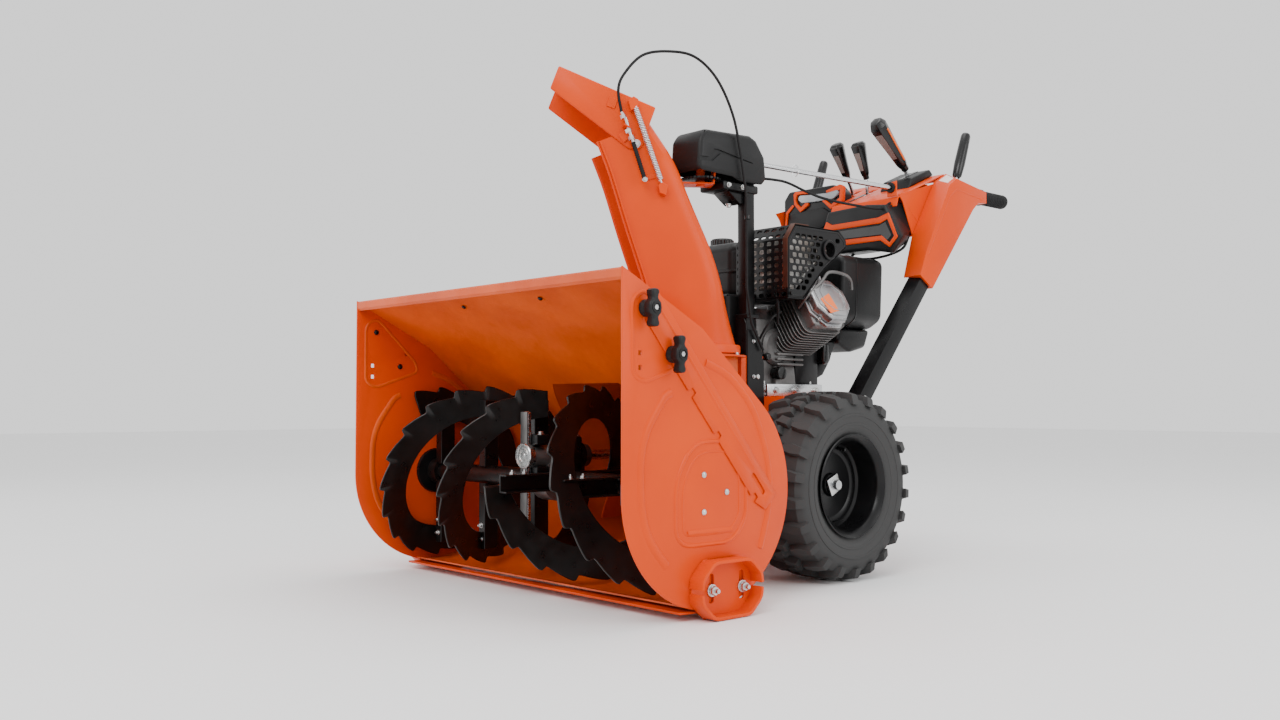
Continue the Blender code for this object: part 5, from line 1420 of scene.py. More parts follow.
@dataclass
class Wheel:
    """A deep rim with a block-lug tyre.

    The tread is one set of blocks, turned about the axle.
    """

    side: str
    lugs: int = 22
    radius: float = 0.203

    def build(self) -> None:
        """Make the tyre, the rim, the nut and the valve."""
        sign = SIDES[self.side]
        body = Body.LEFT_WHEEL if sign > 0 else Body.RIGHT_WHEEL
        carcass = [(0.0996, 0.2270), (0.1040, 0.2235), (0.1120, 0.2190), (0.1250, 0.2110), (0.1300, 0.2102),
                   (0.1305, 0.2094), (0.1345, 0.2088), (0.1350, 0.2096), (0.1500, 0.2070), (0.1505, 0.2060),
                   (0.1545, 0.2060), (0.1550, 0.2072), (0.1650, 0.2080), (0.1760, 0.2110), (0.1860, 0.2190),
                   (0.1880, 0.2330), (0.1890, 0.2600), (0.1895, 0.2910)]
        mirror = [(r, 2 * WHEEL_X - x) for r, x in carcass[-2::-1]]
        profile = [(r, sign * x) for r, x in carcass + mirror]
        skin = lathe("X", AXLE, profile, 88)
        blocks = [self.block(spec, sign) for spec in self.pitch()]
        tread = turned_copies(joined(*blocks), self.lugs, "X", (0, *AXLE), TYRE)
        add_piece(f"{self.side}_tyre_tread", joined(skin, tread), TYRE, body, f"{self.side}_tyre", angle=40)
        rim = [(0.0135, 0.312), (0.0225, 0.312), (0.0240, 0.3105), (0.026, 0.3050), (0.034, 0.3035),
               (0.070, 0.3035),
               (0.0740, 0.3060), (0.0800, 0.3065), (0.0840, 0.3040), (0.0900, 0.3040), (0.0945, 0.3090),
               (0.0955, 0.3160), (0.0955, 0.3560), (0.0975, 0.3620), (0.1060, 0.3695), (0.1085, 0.3715),
               (0.1112, 0.3700), (0.1100, 0.3680), (0.1040, 0.3640), (0.0990, 0.3580), (0.0990, 0.2250),
               (0.1108, 0.2140), (0.1085, 0.2115), (0.0955, 0.2225), (0.0955, 0.3000), (0.026, 0.3000),
               (0.024, 0.268), (0.0135, 0.268)]
        add_piece(f"{self.side}_rim_pressed",
                  lathe("X", AXLE, [(r, sign * x) for r, x in rim], 88), SATIN, body,
                  f"{self.side}_rim")
        washer = lathe("X", AXLE, [(0.017, sign * 0.3118), (0.017, sign * 0.3142), (0.004, sign * 0.3142),
                                   (0.004, sign * 0.3118)], 28)
        turn = Matrix.Translation((0, *AXLE)) @ Matrix.Rotation(math.radians(24), 4, "X")
        square = softened(box((sign * 0.314 if sign > 0 else -0.3190, -0.0190, -0.0190),
                              (0.3190 if sign > 0 else -0.314, 0.0190, 0.0190)), 0.0016, 2)
        stud = rod((sign * 0.317, *AXLE), (sign * 0.3300, *AXLE), 0.0105, 24, 0.0098)
        add_piece(f"{self.side}_hub_nut", joined(washer, moved(square, turn), stud), ZINC, body)
        valve = rod((sign * 0.302, AXLE[0] + 0.030, AXLE[1] + 0.078),
                    (sign * 0.325, AXLE[0] + 0.029, AXLE[1] + 0.075),
                    0.0040, 12, 0.0032)
        add_piece(f"{self.side}_tyre_valve", valve, GLOSS, body)

    def pitch(self) -> list[tuple[list[Pair], float]]:
        """Blocks of one pitch: each is an outline of (across, share of a turn) and its top radius."""
        arms = []
        for flip, shift in ((1, 0.0), (-1, 0.5)):
            shoulder = [(0.0845, -0.20), (0.0860, 0.12), (0.058, 0.24), (0.031, 0.15), (0.034, -0.06),
                        (0.060, -0.20)]
            centre = [(0.023, -0.02), (0.024, 0.34), (-0.006, 0.50), (-0.013, 0.16)]
            arms.append(([(flip * a, b + shift) for a, b in shoulder], self.radius - 0.0008))
            arms.append(([(flip * a, b + shift) for a, b in centre], self.radius - 0.0002))
        return arms

    def surface(self, across: float, top: float) -> float:
        """Radius of the tread at a distance from the tyre's middle."""
        return top - 0.0070 * max(0.0, (abs(across) - 0.040) / 0.044) ** 2

    def block(self, spec: tuple[list[Pair], float], sign: float) -> bmesh.types.BMesh:
        """One lug: a tapered block that follows the tyre's crown."""
        outline, top = spec
        middle = Vector((sum(a for a, _ in outline), sum(b for _, b in outline))) / len(outline)
        rows = []
        for level, spread in ((-0.019, 1.16), (-0.0025, 0.96), (0.0, 0.86)):
            row = []
            for across, share in outline:
                a = middle.x + (across - middle.x) * spread
                b = middle.y + (share - middle.y) * spread
                turn = math.tau * b / self.lugs
                r = self.surface(a, top) + level
                row.append(Vector((sign * (WHEEL_X + a), r * math.sin(turn), r * math.cos(turn))))
            rows.append(row)
        bm = grid(rows, False, True, False)
        verts = list(bm.verts)
        bm.faces.new(verts[-len(outline):])
        bm.faces.new(verts[:len(outline)][::-1])
        return bm


@dataclass
class Tractor:
    """Frame box, belt housing, axle and both wheels."""

    def build(self) -> None:
        """Make the tractor's pieces."""
        dressed("tractor_frame", PAINT, Body.MACHINE, 0.0022)
        dressed("belt_cover", PLASTIC, Body.MACHINE, 0.005, 3)
        dressed("axle", ZINC, Body.LEFT_WHEEL, 0.0012)
        for side in SIDES:
            Wheel(side).build()
        spots = []
        for sign in (-1, 1):
            spots += [((sign * 0.128, y, z), (sign, 0, 0), 1.0) for y, z in ((0.690, 0.440), (0.690, 0.300))]
            spots += [((sign * 0.190, y, z), (sign, 0, 0), 1.0)
                      for y, z in ((0.735, 0.370), (0.860, 0.370), (0.985, 0.370), (0.985, 0.130),
                                   (0.780, 0.130))]
        spots += [((x, 1.020, z), (0, 1, 0), 1.0) for x in (-0.16, 0.16) for z in (0.13, 0.37)]
        fasteners("frame_bolts", Head.HEX, spots, ZINC, Body.MACHINE)
        panel = softened(punched("Y", rounded([(-0.150, 0.140), (0.150, 0.140), (0.150, 0.360),
                                               (-0.150, 0.360)],
                                              0.02, True, 4), [], 1.0202, 1.0232), 0.001, 1)
        add_piece("rear_panel", panel, SATIN, Body.MACHINE)
        hub = [lathe("X", AXLE, [(0.030, sign * 0.1902), (0.030, sign * 0.1960), (0.018, sign * 0.2060),
                                 (0.0142, sign * 0.2060), (0.0142, sign * 0.1902)], 32) for sign in (-1, 1)]
        add_piece("axle_bearings", joined(*hub), SATIN, Body.MACHINE)


# --------------------------------------------------------------------------------- engine


@dataclass
class Engine:
    """Single-cylinder engine: block, fins, covers, muffler guard, tank and recoil starter."""

    def build(self) -> None:
        """Make the engine's pieces."""
        self.block()
        self.cylinder()
        self.guard()
        self.tank()
        self.recoil()
        self.intake()

    @staticmethod
    def tilted(bm: bmesh.types.BMesh) -> bmesh.types.BMesh:
        """Bring a shape drawn along the cylinder to its tilted place."""
        return moved(bm, CYLINDER_FRAME)

    @staticmethod
    def tilted_point(point: Point) -> tuple:
        """A point drawn along the cylinder, in the drawn frame."""
        return tuple(CYLINDER_FRAME @ Vector(point))

    def block(self) -> None:
        """Crankcase with ribs, base plate, plugs, breather hose and wires."""
        dressed("crankcase", CAST, Body.MACHINE, 0.004, 3)
        ribs = [softened(box((0.096, 0.775, z), (0.118, 0.868, z + 0.0060)), 0.0022, 2)
                for z in (0.468, 0.480, 0.492)]
        ribs += [softened(prism("X", [(0.7225, 0.404), (0.7135, 0.404), (0.7155, 0.485), (0.7225, 0.545)],
                                x, x + 0.005), 0.0012, 1) for x in (-0.070, -0.020, 0.030, 0.075)]
        ribs.append(softened(prism("Y", [(0.094, 0.405), (0.114, 0.405), (0.108, 0.468), (0.094, 0.468)],
                                   0.775, 0.846), 0.003, 2))
        ribs.append(lathe("X", (0.783, 0.512),
                          [(0.044, 0.094), (0.044, 0.104), (0.036, 0.110), (0.020, 0.110),
                                                (0.018, 0.106), (0.0004, 0.106), (0.0004, 0.094)], 40))
        ribs.append(lathe("Y", (0.040, 0.500),
                          [(0.062, 0.7225), (0.062, 0.7130), (0.050, 0.7080), (0.020, 0.7080),
                                                (0.018, 0.7120), (0.0004, 0.7120), (0.0004, 0.7225)], 48))
        add_piece("crankcase_ribs", joined(*ribs), CAST, Body.MACHINE)
        # Painted shade: a black plate and skirt over the crankcase's rear, where it looks dark in shadow.
        shade = softened(prism("X", [(0.852, 0.405), (0.935, 0.405), (0.935, 0.600), (0.870, 0.600),
                                     (0.852, 0.560)],
                               0.098, 0.106), 0.003, 2)
        skirt = softened(prism("X", [(0.9568, 0.5270), (1.0103, 0.5324), (0.9900, 0.4850), (0.9616, 0.4487),
                                     (0.9173, 0.4303), (0.9092, 0.4338), (0.9340, 0.4553), (0.9480, 0.4840)],
                               0.086, 0.100), 0.003, 2)
        add_piece("crankcase_shade", joined(shade, skirt), SATIN, Body.MACHINE)
        plate = softened(box((-0.125, 0.714, 0.3955), (0.116, 0.935, 0.4040)), 0.002, 2)
        rail = softened(box((0.116, 0.732, 0.3955), (0.124, 0.930, 0.4245)), 0.002, 2)
        feet = [softened(box((x, y, 0.403), (x + 0.030, y + 0.034, 0.424)), 0.004, 2)
                for x, y in ((-0.120, 0.725), (0.086, 0.725), (-0.120, 0.890), (0.086, 0.890))]
        add_piece("engine_base", joined(plate, rail, *feet), BRIGHT, Body.MACHINE)
        up = (0, 0, 1)
        fasteners("engine_rail_bolts", Head.HEX,
                  [((0.124, y, 0.4100), (1, 0, 0), 1.1) for y in (0.760, 0.829, 0.905)],
                  ZINC, Body.MACHINE)
        fasteners("engine_bolts", Head.HEX, [((x, y, 0.4235), up, 1.3) for x in (-0.103, 0.100)
                                             for y in (0.742, 0.907)], ZINC, Body.MACHINE)
        plug = [rod((0.098, 0.783, 0.4500), (0.126, 0.783, 0.4500), 0.0150, 24),
                rod((0.098, 0.7475, 0.4875), (0.116, 0.7475, 0.4875), 0.0090, 6)]
        neck = [rod((0.075, 0.7225, 0.470), (0.082, 0.696, 0.490), 0.0135, 24),
                rod((0.082, 0.697, 0.489), (0.086, 0.684, 0.499), 0.0165, 12)]
        add_piece("oil_plugs", joined(*[softened(p, 0.0015, 2) for p in plug + neck]), GLOSS, Body.MACHINE)
        hose = smooth_route([(0.170, 0.790, 0.600), (0.196, 0.7934, 0.6277), (0.206, 0.8275, 0.6602),
                             (0.206, 0.8568, 0.6844), (0.206, 0.9108, 0.6833), (0.204, 0.9382, 0.6714),
                             (0.200, 0.9480, 0.6500)], 6)
        add_piece("breather_hose", tube(hose, 0.0038, 14), CAST, Body.MACHINE, angle=60)
        wires = [tube(smooth_route(route, 6), 0.0026, 8) for route in (
            [(0.150, 0.740, 0.560), (0.162, 0.728, 0.600), (0.158, 0.724, 0.632), (0.150, 0.735, 0.650)],
            [(0.106, 0.720, 0.520), (0.130, 0.714, 0.545), (0.150, 0.722, 0.575), (0.156, 0.745, 0.590)])]
        add_piece("engine_wires", joined(*wires), RUBBER, Body.MACHINE, angle=60)

    def cylinder(self) -> None:
        """Finned cylinder and the eight-sided valve cover."""
        barrel = softened(box((0.110, -0.048, -0.046), (0.214, 0.048, 0.046)), 0.004, 2)
        head = softened(box((0.176, -0.056, -0.053), (0.214, 0.056, 0.053)), 0.006, 3)
        add_piece("cylinder_cast", self.tilted(joined(barrel, head)), CAST, Body.MACHINE, "cylinder")
        outline = rounded([(-0.070, -0.060), (0.064, -0.060), (0.064, 0.054), (-0.070, 0.054)],
                          0.022, True, 4)
        fin = softened(prism("X", outline, 0.092, 0.0950), 0.0008, 1, 40)
        fins = laid_copies(fin, 11, (0.0094, 0, 0), CAST)
        add_piece("cylinder_fins", self.tilted(fins), CAST, Body.MACHINE)
        turns = [math.tau * (k + 0.5) / 8 for k in range(8)]
        flange = [(0.070 * math.cos(a), 0.066 * math.sin(a)) for a in turns]
        cover = [(0.0640 * math.cos(a), 0.0605 * math.sin(a)) for a in turns]
        rim = softened(prism("X", flange, 0.2130, 0.2205), 0.0024, 2, 20)
        body = softened(prism("X", cover, 0.2190, 0.2460), 0.0080, 4, 50)
        top = softened(prism("X", [(a * 0.86, b * 0.86) for a, b in cover], 0.2440, 0.2500), 0.0030, 2, 50)
        emboss = [[Vector((0.2502 + rise, a * share, b * share)) for a, b in cover]
                  for rise, share in ((-0.002, 0.66), (0.0014, 0.655), (0.0014, 0.60), (-0.002, 0.595))]
        ring = joined(grid(emboss, False, True, False), grid([emboss[3], emboss[0]], False, True, False))
        nozzle = rod((0.236, 0.0, 0.054), (0.238, 0.0, 0.074), 0.0065, 20)
        add_piece("valve_cover_pressed", self.tilted(joined(rim, body, top, ring, nozzle)), CAST_LIGHT,
                  Body.MACHINE, "valve_cover")
        way = Vector(self.tilted_point((1, 0, 0))) - Vector(self.tilted_point((0, 0, 0)))
        spots = [(self.tilted_point((0.2205, 0.0640 * math.cos(a), 0.0605 * math.sin(a))), tuple(way), 0.62)
                 for a in (0.8, 2.34, 3.94, 5.48)]
        fasteners("valve_cover_bolts", Head.HEX, spots, ZINC, Body.MACHINE)
        patch = prism("X", [(-0.0486, -0.0077), (-0.0095, 0.0095), (-0.0011, -0.0376), (-0.0350, -0.0463)],
                      0.2500, 0.2512)
        add_piece("valve_cover_label", self.tilted(patch), LABEL, Body.MACHINE)

    def guard(self) -> None:
        """Perforated guard over a bright muffler."""
        x0, x1, sheet = 0.042, 0.200, 0.003
        outline = [(0.716, 0.752), (0.742, 0.786), (0.900, 0.786), (0.926, 0.764), (0.926, 0.748),
                   (0.846, 0.690),
                   (0.770, 0.618), (0.716, 0.618)]
        port = Vector((0.862, 0.737))
        holes = [arc(tuple(port), 0.0185, 0, 345, 15)]
        for row in range(11):
            z = 0.628 + row * 0.0148
            y = 0.722 + (row % 2) * 0.01025
            while y < 0.922:
                slot = self.slot_shape(y, z)
                clear = min((Vector(p) - port).length for p in slot) > 0.024
                if clear and all(self.inside(p, outline, 0.0055) for p in slot):
                    holes.append(slot)
                y += 0.0205
        side = softened(punched("X", outline, holes, x1 - sheet, x1), 0.0007, 1, 60)
        walls = [self.face(outline[0], outline[1], x0, x1, 7, 2),
                 self.face(outline[1], outline[2], x0, x1, 7, 9),
                 self.face(outline[7], outline[0], x0, x1, 7, 8),
                 self.face(outline[5], outline[6], x0, x1, 7, 6),
                 self.face(outline[4], outline[5], x0, x1, 7, 5)]
        plain = [sheet_outline([outline[a], outline[b]], sheet) for a, b in ((2, 3), (3, 4), (6, 7))]
        strips = [prism("X", p, x0, x1) for p in plain]
        add_piece("guard_perforated", joined(side, *walls, *strips), SATIN, Body.MACHINE,
                  "muffler_guard", angle=35)
        flange = rounded([(0.722, 0.746), (0.746, 0.780), (0.896, 0.780), (0.920, 0.760), (0.920, 0.750),
                          (0.842, 0.696), (0.768, 0.624), (0.722, 0.624)], 0.004, True, 2)
        rim = ridge(flange, x1, 1, 0.005, 0.0012, True)
        add_piece("guard_rim", rim, SATIN, Body.MACHINE)
        # A thin reddish strip over the guard's front and top edges: a painted highlight on the black guard.
        corner = softened(prism("X", [(0.7145, 0.640), (0.7145, 0.752), (0.7420, 0.7885), (0.790, 0.7885),
                                      (0.790, 0.7865), (0.7428, 0.7865), (0.7160, 0.7515), (0.7160, 0.640)],
                                x1 - 0.013, x1 + 0.0012), 0.0004, 1)
        add_piece("guard_heat_strip", corner, PAINTED_EDGE_HIGHLIGHT, Body.MACHINE)
        can = prism("X", rounded([(0.734, 0.742), (0.752, 0.766), (0.890, 0.766), (0.902, 0.748),
                                  (0.842, 0.704),
                                  (0.764, 0.636), (0.734, 0.636)], 0.02, True, 5), 0.062, 0.178)
        seam = [ridge(rounded([(0.738, 0.742), (0.755, 0.762), (0.886, 0.762), (0.896, 0.748), (0.840, 0.708),
                               (0.762, 0.640), (0.738, 0.640)], 0.02, True, 5), 0.1780, 1,
                      0.008, 0.003, True)]
        add_piece("muffler_can", joined(softened(can, 0.012, 3, 50), *seam), MUFFLER, Body.MACHINE)
        outlet = lathe("X", tuple(port), [(0.0235, x1 - 0.004), (0.0235, x1 + 0.0045), (0.0215, x1 + 0.0060),
                                          (0.0175, x1 + 0.0050), (0.0165, x1 - 0.0200),
                                          (0.0190, x1 - 0.0200)], 36)
        add_piece("exhaust_outlet", outlet, SATIN, Body.MACHINE)
        up = (0, 0, 1)
        spots = [((0.060, 0.752, 0.7862), up, 0.8), ((x1, 0.726, 0.628), (1, 0, 0), 0.8)]
        fasteners("guard_bolts", Head.HEX, spots, SATIN, Body.MACHINE)

    @staticmethod
    def slot_shape(along: float, across: float) -> list[Pair]:
        """Outline of one oblong hole in the guard."""
        return rounded([(along - 0.0078, across - 0.0049), (along + 0.0078, across - 0.0049),
                        (along + 0.0078, across + 0.0049), (along - 0.0078, across + 0.0049)],
                       0.0042, True, 3)

    @staticmethod
    def inside(point: Pair, outline: list[Pair], margin: float) -> bool:
        """Whether a point lies inside an outline, at least margin from its edge."""
        result = False
        here = Vector(point)
        for a, b in zip(outline, outline[1:] + outline[:1]):
            run = Vector(b) - Vector(a)
            t = max(0.0, min(1.0, (here - Vector(a)).dot(run) / run.length_squared))
            if (Vector(a) + run * t - here).length < margin:
                return False
            crosses = (a[1] > here.y) != (b[1] > here.y)
            if crosses and here.x < a[0] + (here.y - a[1]) / (b[1] - a[1]) * (b[0] - a[0]):
                result = not result
        return result

    @staticmethod
    def face(start: Pair, end: Pair, x0: float, x1: float, columns: int, rows: int) -> bmesh.types.BMesh:
        """One folded face of the guard, between two corners of its side, with rows of slots."""
        run = Vector(end) - Vector(start)
        long = run.length
        holes = []
        for i in range(columns):
            for j in range(rows):
                x = (x1 - x0) * (i + 0.5) / columns
                s = long * (j + 0.5) / rows
                holes.append(Engine.slot_shape(x, s))
        flat = punched("Z", [(0, 0), (x1 - x0, 0), (x1 - x0, long), (0, long)], holes, 0, 0.003)
        way = run.normalized()
        turn = Matrix(((1, 0, 0), (0, way.x, way.y), (0, way.y, -way.x))).to_4x4()
        return moved(flat, Matrix.Translation((x0, *start)) @ turn)

    def tank(self) -> None:
        """Fuel tank with its seam and ribbed cap."""
        dressed("fuel_tank", PLASTIC, Body.MACHINE, 0.022, 5)
        seam = rounded([(-0.235, 0.722), (0.034, 0.722), (0.034, 0.930), (-0.235, 0.930)], 0.024, True, 6)
        flange = softened(prism("Z", offset_path(seam, -0.003, True), 0.690, 0.697), 0.002, 2, 50)
        add_piece("tank_seam", flange, PLASTIC, Body.MACHINE)
        count = 56
        ribbed = [(0.0300 if k % 2 else 0.0280, math.tau * k / count) for k in range(count)]
        outline = [(-0.110 + r * math.cos(a), 0.826 + r * math.sin(a)) for r, a in ribbed]
        skirt = softened(prism("Z", outline, 0.7656, 0.7880), 0.0008, 1, 50)
        crown = lathe("Z", (-0.110, 0.826), [(0.0275, 0.7870), (0.0262, 0.7905), (0.0200, 0.7918),
                                             (0.0190, 0.7895), (0.0004, 0.7890), (0.0004, 0.7870)], 40)
        add_piece("tank_cap_ribbed", joined(skirt, crown), GLOSS, Body.CAP, "fuel_cap")

    def recoil(self) -> None:
        """Vented recoil housing and the starter handle."""
        centre = (0, 0.500)
        cup = lathe("Y", centre, [(0.098, 0.9310), (0.100, 0.9360), (0.098, 0.9640), (0.088, 0.9760),
                                  (0.060, 0.9795),
                                  (0.030, 0.9800), (0.0004, 0.9802), (0.0004, 0.9310)], 64)
        slots = []
        for k in range(14):
            turn = math.tau * k / 14
            slot = softened(box((-0.0045, -0.01, 0.052), (0.0045, 0.06, 0.088)), 0.003, 2)
            slots.append(moved(slot, Matrix.Translation((0, 0.968, 0.500)) @ Matrix.Rotation(turn, 4, "Y")))
        shell = carved(cup, joined(*slots))
        add_piece("recoil_vented", shell, GLOSS, Body.MACHINE, "recoil_cover", angle=30)
        disc = lathe("Y", centre, [(0.095, 0.9640), (0.095, 0.9655), (0.0004, 0.9655), (0.0004, 0.9640)], 48)
        add_piece("recoil_screen", disc, CAST, Body.MACHINE)
        bar = rounded([(0.474, -0.011), (0.526, -0.011), (0.526, 0.011), (0.474, 0.011)], 0.010, True, 5)
        grip = softened(prism("Y", [(0.110 + b, a) for a, b in bar], 0.941, 0.963), 0.006, 3, 50)
        add_piece("starter_grip_moulded", grip, GLOSS, Body.STARTER, "recoil_handle")

    def intake(self) -> None:
        """Tall rounded cover over the carburettor, with its scoop and knobs."""
        outline = rounded([(-0.080, 0.566), (0.100, 0.566), (0.140, 0.590), (0.146, 0.735), (0.120, 0.748),
                           (-0.110, 0.748), (-0.110, 0.600)], 0.016, True, 5)
        shell = softened(prism("Y", outline, 0.986, 1.150), 0.012, 4, 50)
        add_piece("intake_moulded", shell, PLASTIC, Body.MACHINE, "intake_cover", angle=40)
        seam = softened(prism("Y", offset_path(outline, -0.0016, True), 1.040, 1.044), 0.001, 1, 50)
        scoop = softened(prism("X", [(1.000, 0.566), (1.140, 0.566), (1.120, 0.520), (1.060, 0.506),
                                     (1.010, 0.530)],
                               -0.060, 0.110), 0.010, 3)
        add_piece("intake_seam", seam, GLOSS, Body.MACHINE)
        add_piece("intake_scoop", scoop, SATIN, Body.MACHINE)
        knob = lathe("Y", (-0.030, 0.700), [(0.016, 1.148), (0.018, 1.152), (0.018, 1.162), (0.014, 1.166),
                                            (0.0004, 1.166), (0.0004, 1.148)], 24)
        key = softened(box((0.060, 1.148, 0.690), (0.072, 1.166, 0.716)), 0.003, 2)
        add_piece("engine_knobs", joined(knob, key), GLOSS, Body.MACHINE)


# ------------------------------------------------------------------------ handles and dash


@dataclass
class Handle:
    """One square handle tube with its gusset, grip and clutch lever."""

    side: str

    def build(self) -> None:
        """Make this side's pieces."""
        side, sign = self.side, SIDES[self.side]
        self.tube(side, sign)
        self.gusset(side, sign)
        self.grip(side, sign)
        self.lever(side, sign)

    def tube(self, side: str, sign: float) -> None:
        """The square tube, bent level at its top."""
        x = sign * HANDLE_X
        path = rounded([(0.905, 0.3705), (1.3745, 0.9245), (1.392, 0.9245)], 0.05, False, 6)
        bar = softened(prism("X", sheet_outline(path, 0.038), x - 0.019, x + 0.019), 0.0055, 3, 40)
        add_piece(f"{side}_tube_bent", bar, SATIN, Body.MACHINE, f"{side}_handle_tube", angle=38)
        face = x + sign * 0.019
        bolts = [((face, 0.921415, 0.38989), (sign, 0, 0), 1.0), ((face, 1.352, 0.894), (sign, 0, 0), 0.9)]
        fasteners(f"{side}_tube_bolts", Head.HEX, bolts, ZINC, Body.MACHINE)

    def gusset(self, side: str, sign: float) -> None:
        """The faceted orange cover between the tube and the dash."""
        x = sign * 0.2646
        crease = ridge([(1.170, 0.748), (1.268, 0.905), (1.300, 0.925), (1.420, 0.912)],
                       x - sign * 0.0012, sign,
                       0.006, 0.0016)
        dressed(f"{side}_gusset", PAINT, Body.MACHINE, 0.0035, 3)
        add_piece(f"{side}_gusset_crease", crease, PAINT, Body.MACHINE, angle=60)

    def grip(self, side: str, sign: float) -> None:
        """The round bar with a ribbed rubber grip."""
        x, z = sign * HANDLE_X, 0.925
        add_piece(f"{side}_grip_bar_round", rod((x, 1.380, z), (x, 1.548, z), 0.0125, 32),
                  SATIN, Body.MACHINE)
        profile = [(0.0128, 1.440), (0.0205, 1.440), (0.0215, 1.4425), (0.0215, 1.4470), (0.0180, 1.4490)]
        y = 1.453
        while y < 1.545:
            profile += [(0.0170, y), (0.0188, y + 0.0014), (0.0188, y + 0.0040), (0.0170, y + 0.0054)]
            y += 0.0078
        profile += [(0.0186, 1.5500), (0.0190, 1.5540), (0.0180, 1.5585), (0.0150, 1.5600), (0.0003, 1.5600),
                    (0.0003, 1.5490), (0.0128, 1.5490)]
        add_piece(f"{side}_grip_ribbed", lathe("Y", (x, z), profile, 40), RUBBER, Body.MACHINE,
                  f"{side}_grip",
                  angle=40)

    def lever(self, side: str, sign: float) -> None:
        """Tapered clutch lever with its stem and foot."""
        body = Body.LEFT_CLUTCH if sign > 0 else Body.RIGHT_CLUTCH
        x = sign * HANDLE_X
        low, high = Vector((x, 1.340, 0.964)), Vector((x, 1.388, 1.086))
        steps = ((0.0, 0.0080), (0.05, 0.0120), (0.30, 0.0140), (0.70, 0.0134), (0.94, 0.0124),
                 (0.985, 0.0105),
                 (1.0, 0.0060))
        handle = tube([low.lerp(high, s) for s, _ in steps], [r for _, r in steps], 24)
        stem = rod((x, 1.334, 0.948), tuple(low.lerp(high, 0.02)), 0.0045, 14)
        add_piece(f"{side}_clutch_handle", handle, GLOSS, body, f"{side}_clutch_lever", angle=50)
        add_piece(f"{side}_clutch_stem", stem, BRIGHT, body)
        boss = softened(box((x - 0.015, 1.318, 0.940), (x + 0.015, 1.344, 0.952)), 0.003, 2)
        add_piece(f"{side}_clutch_boot", boss, GLOSS, Body.MACHINE)


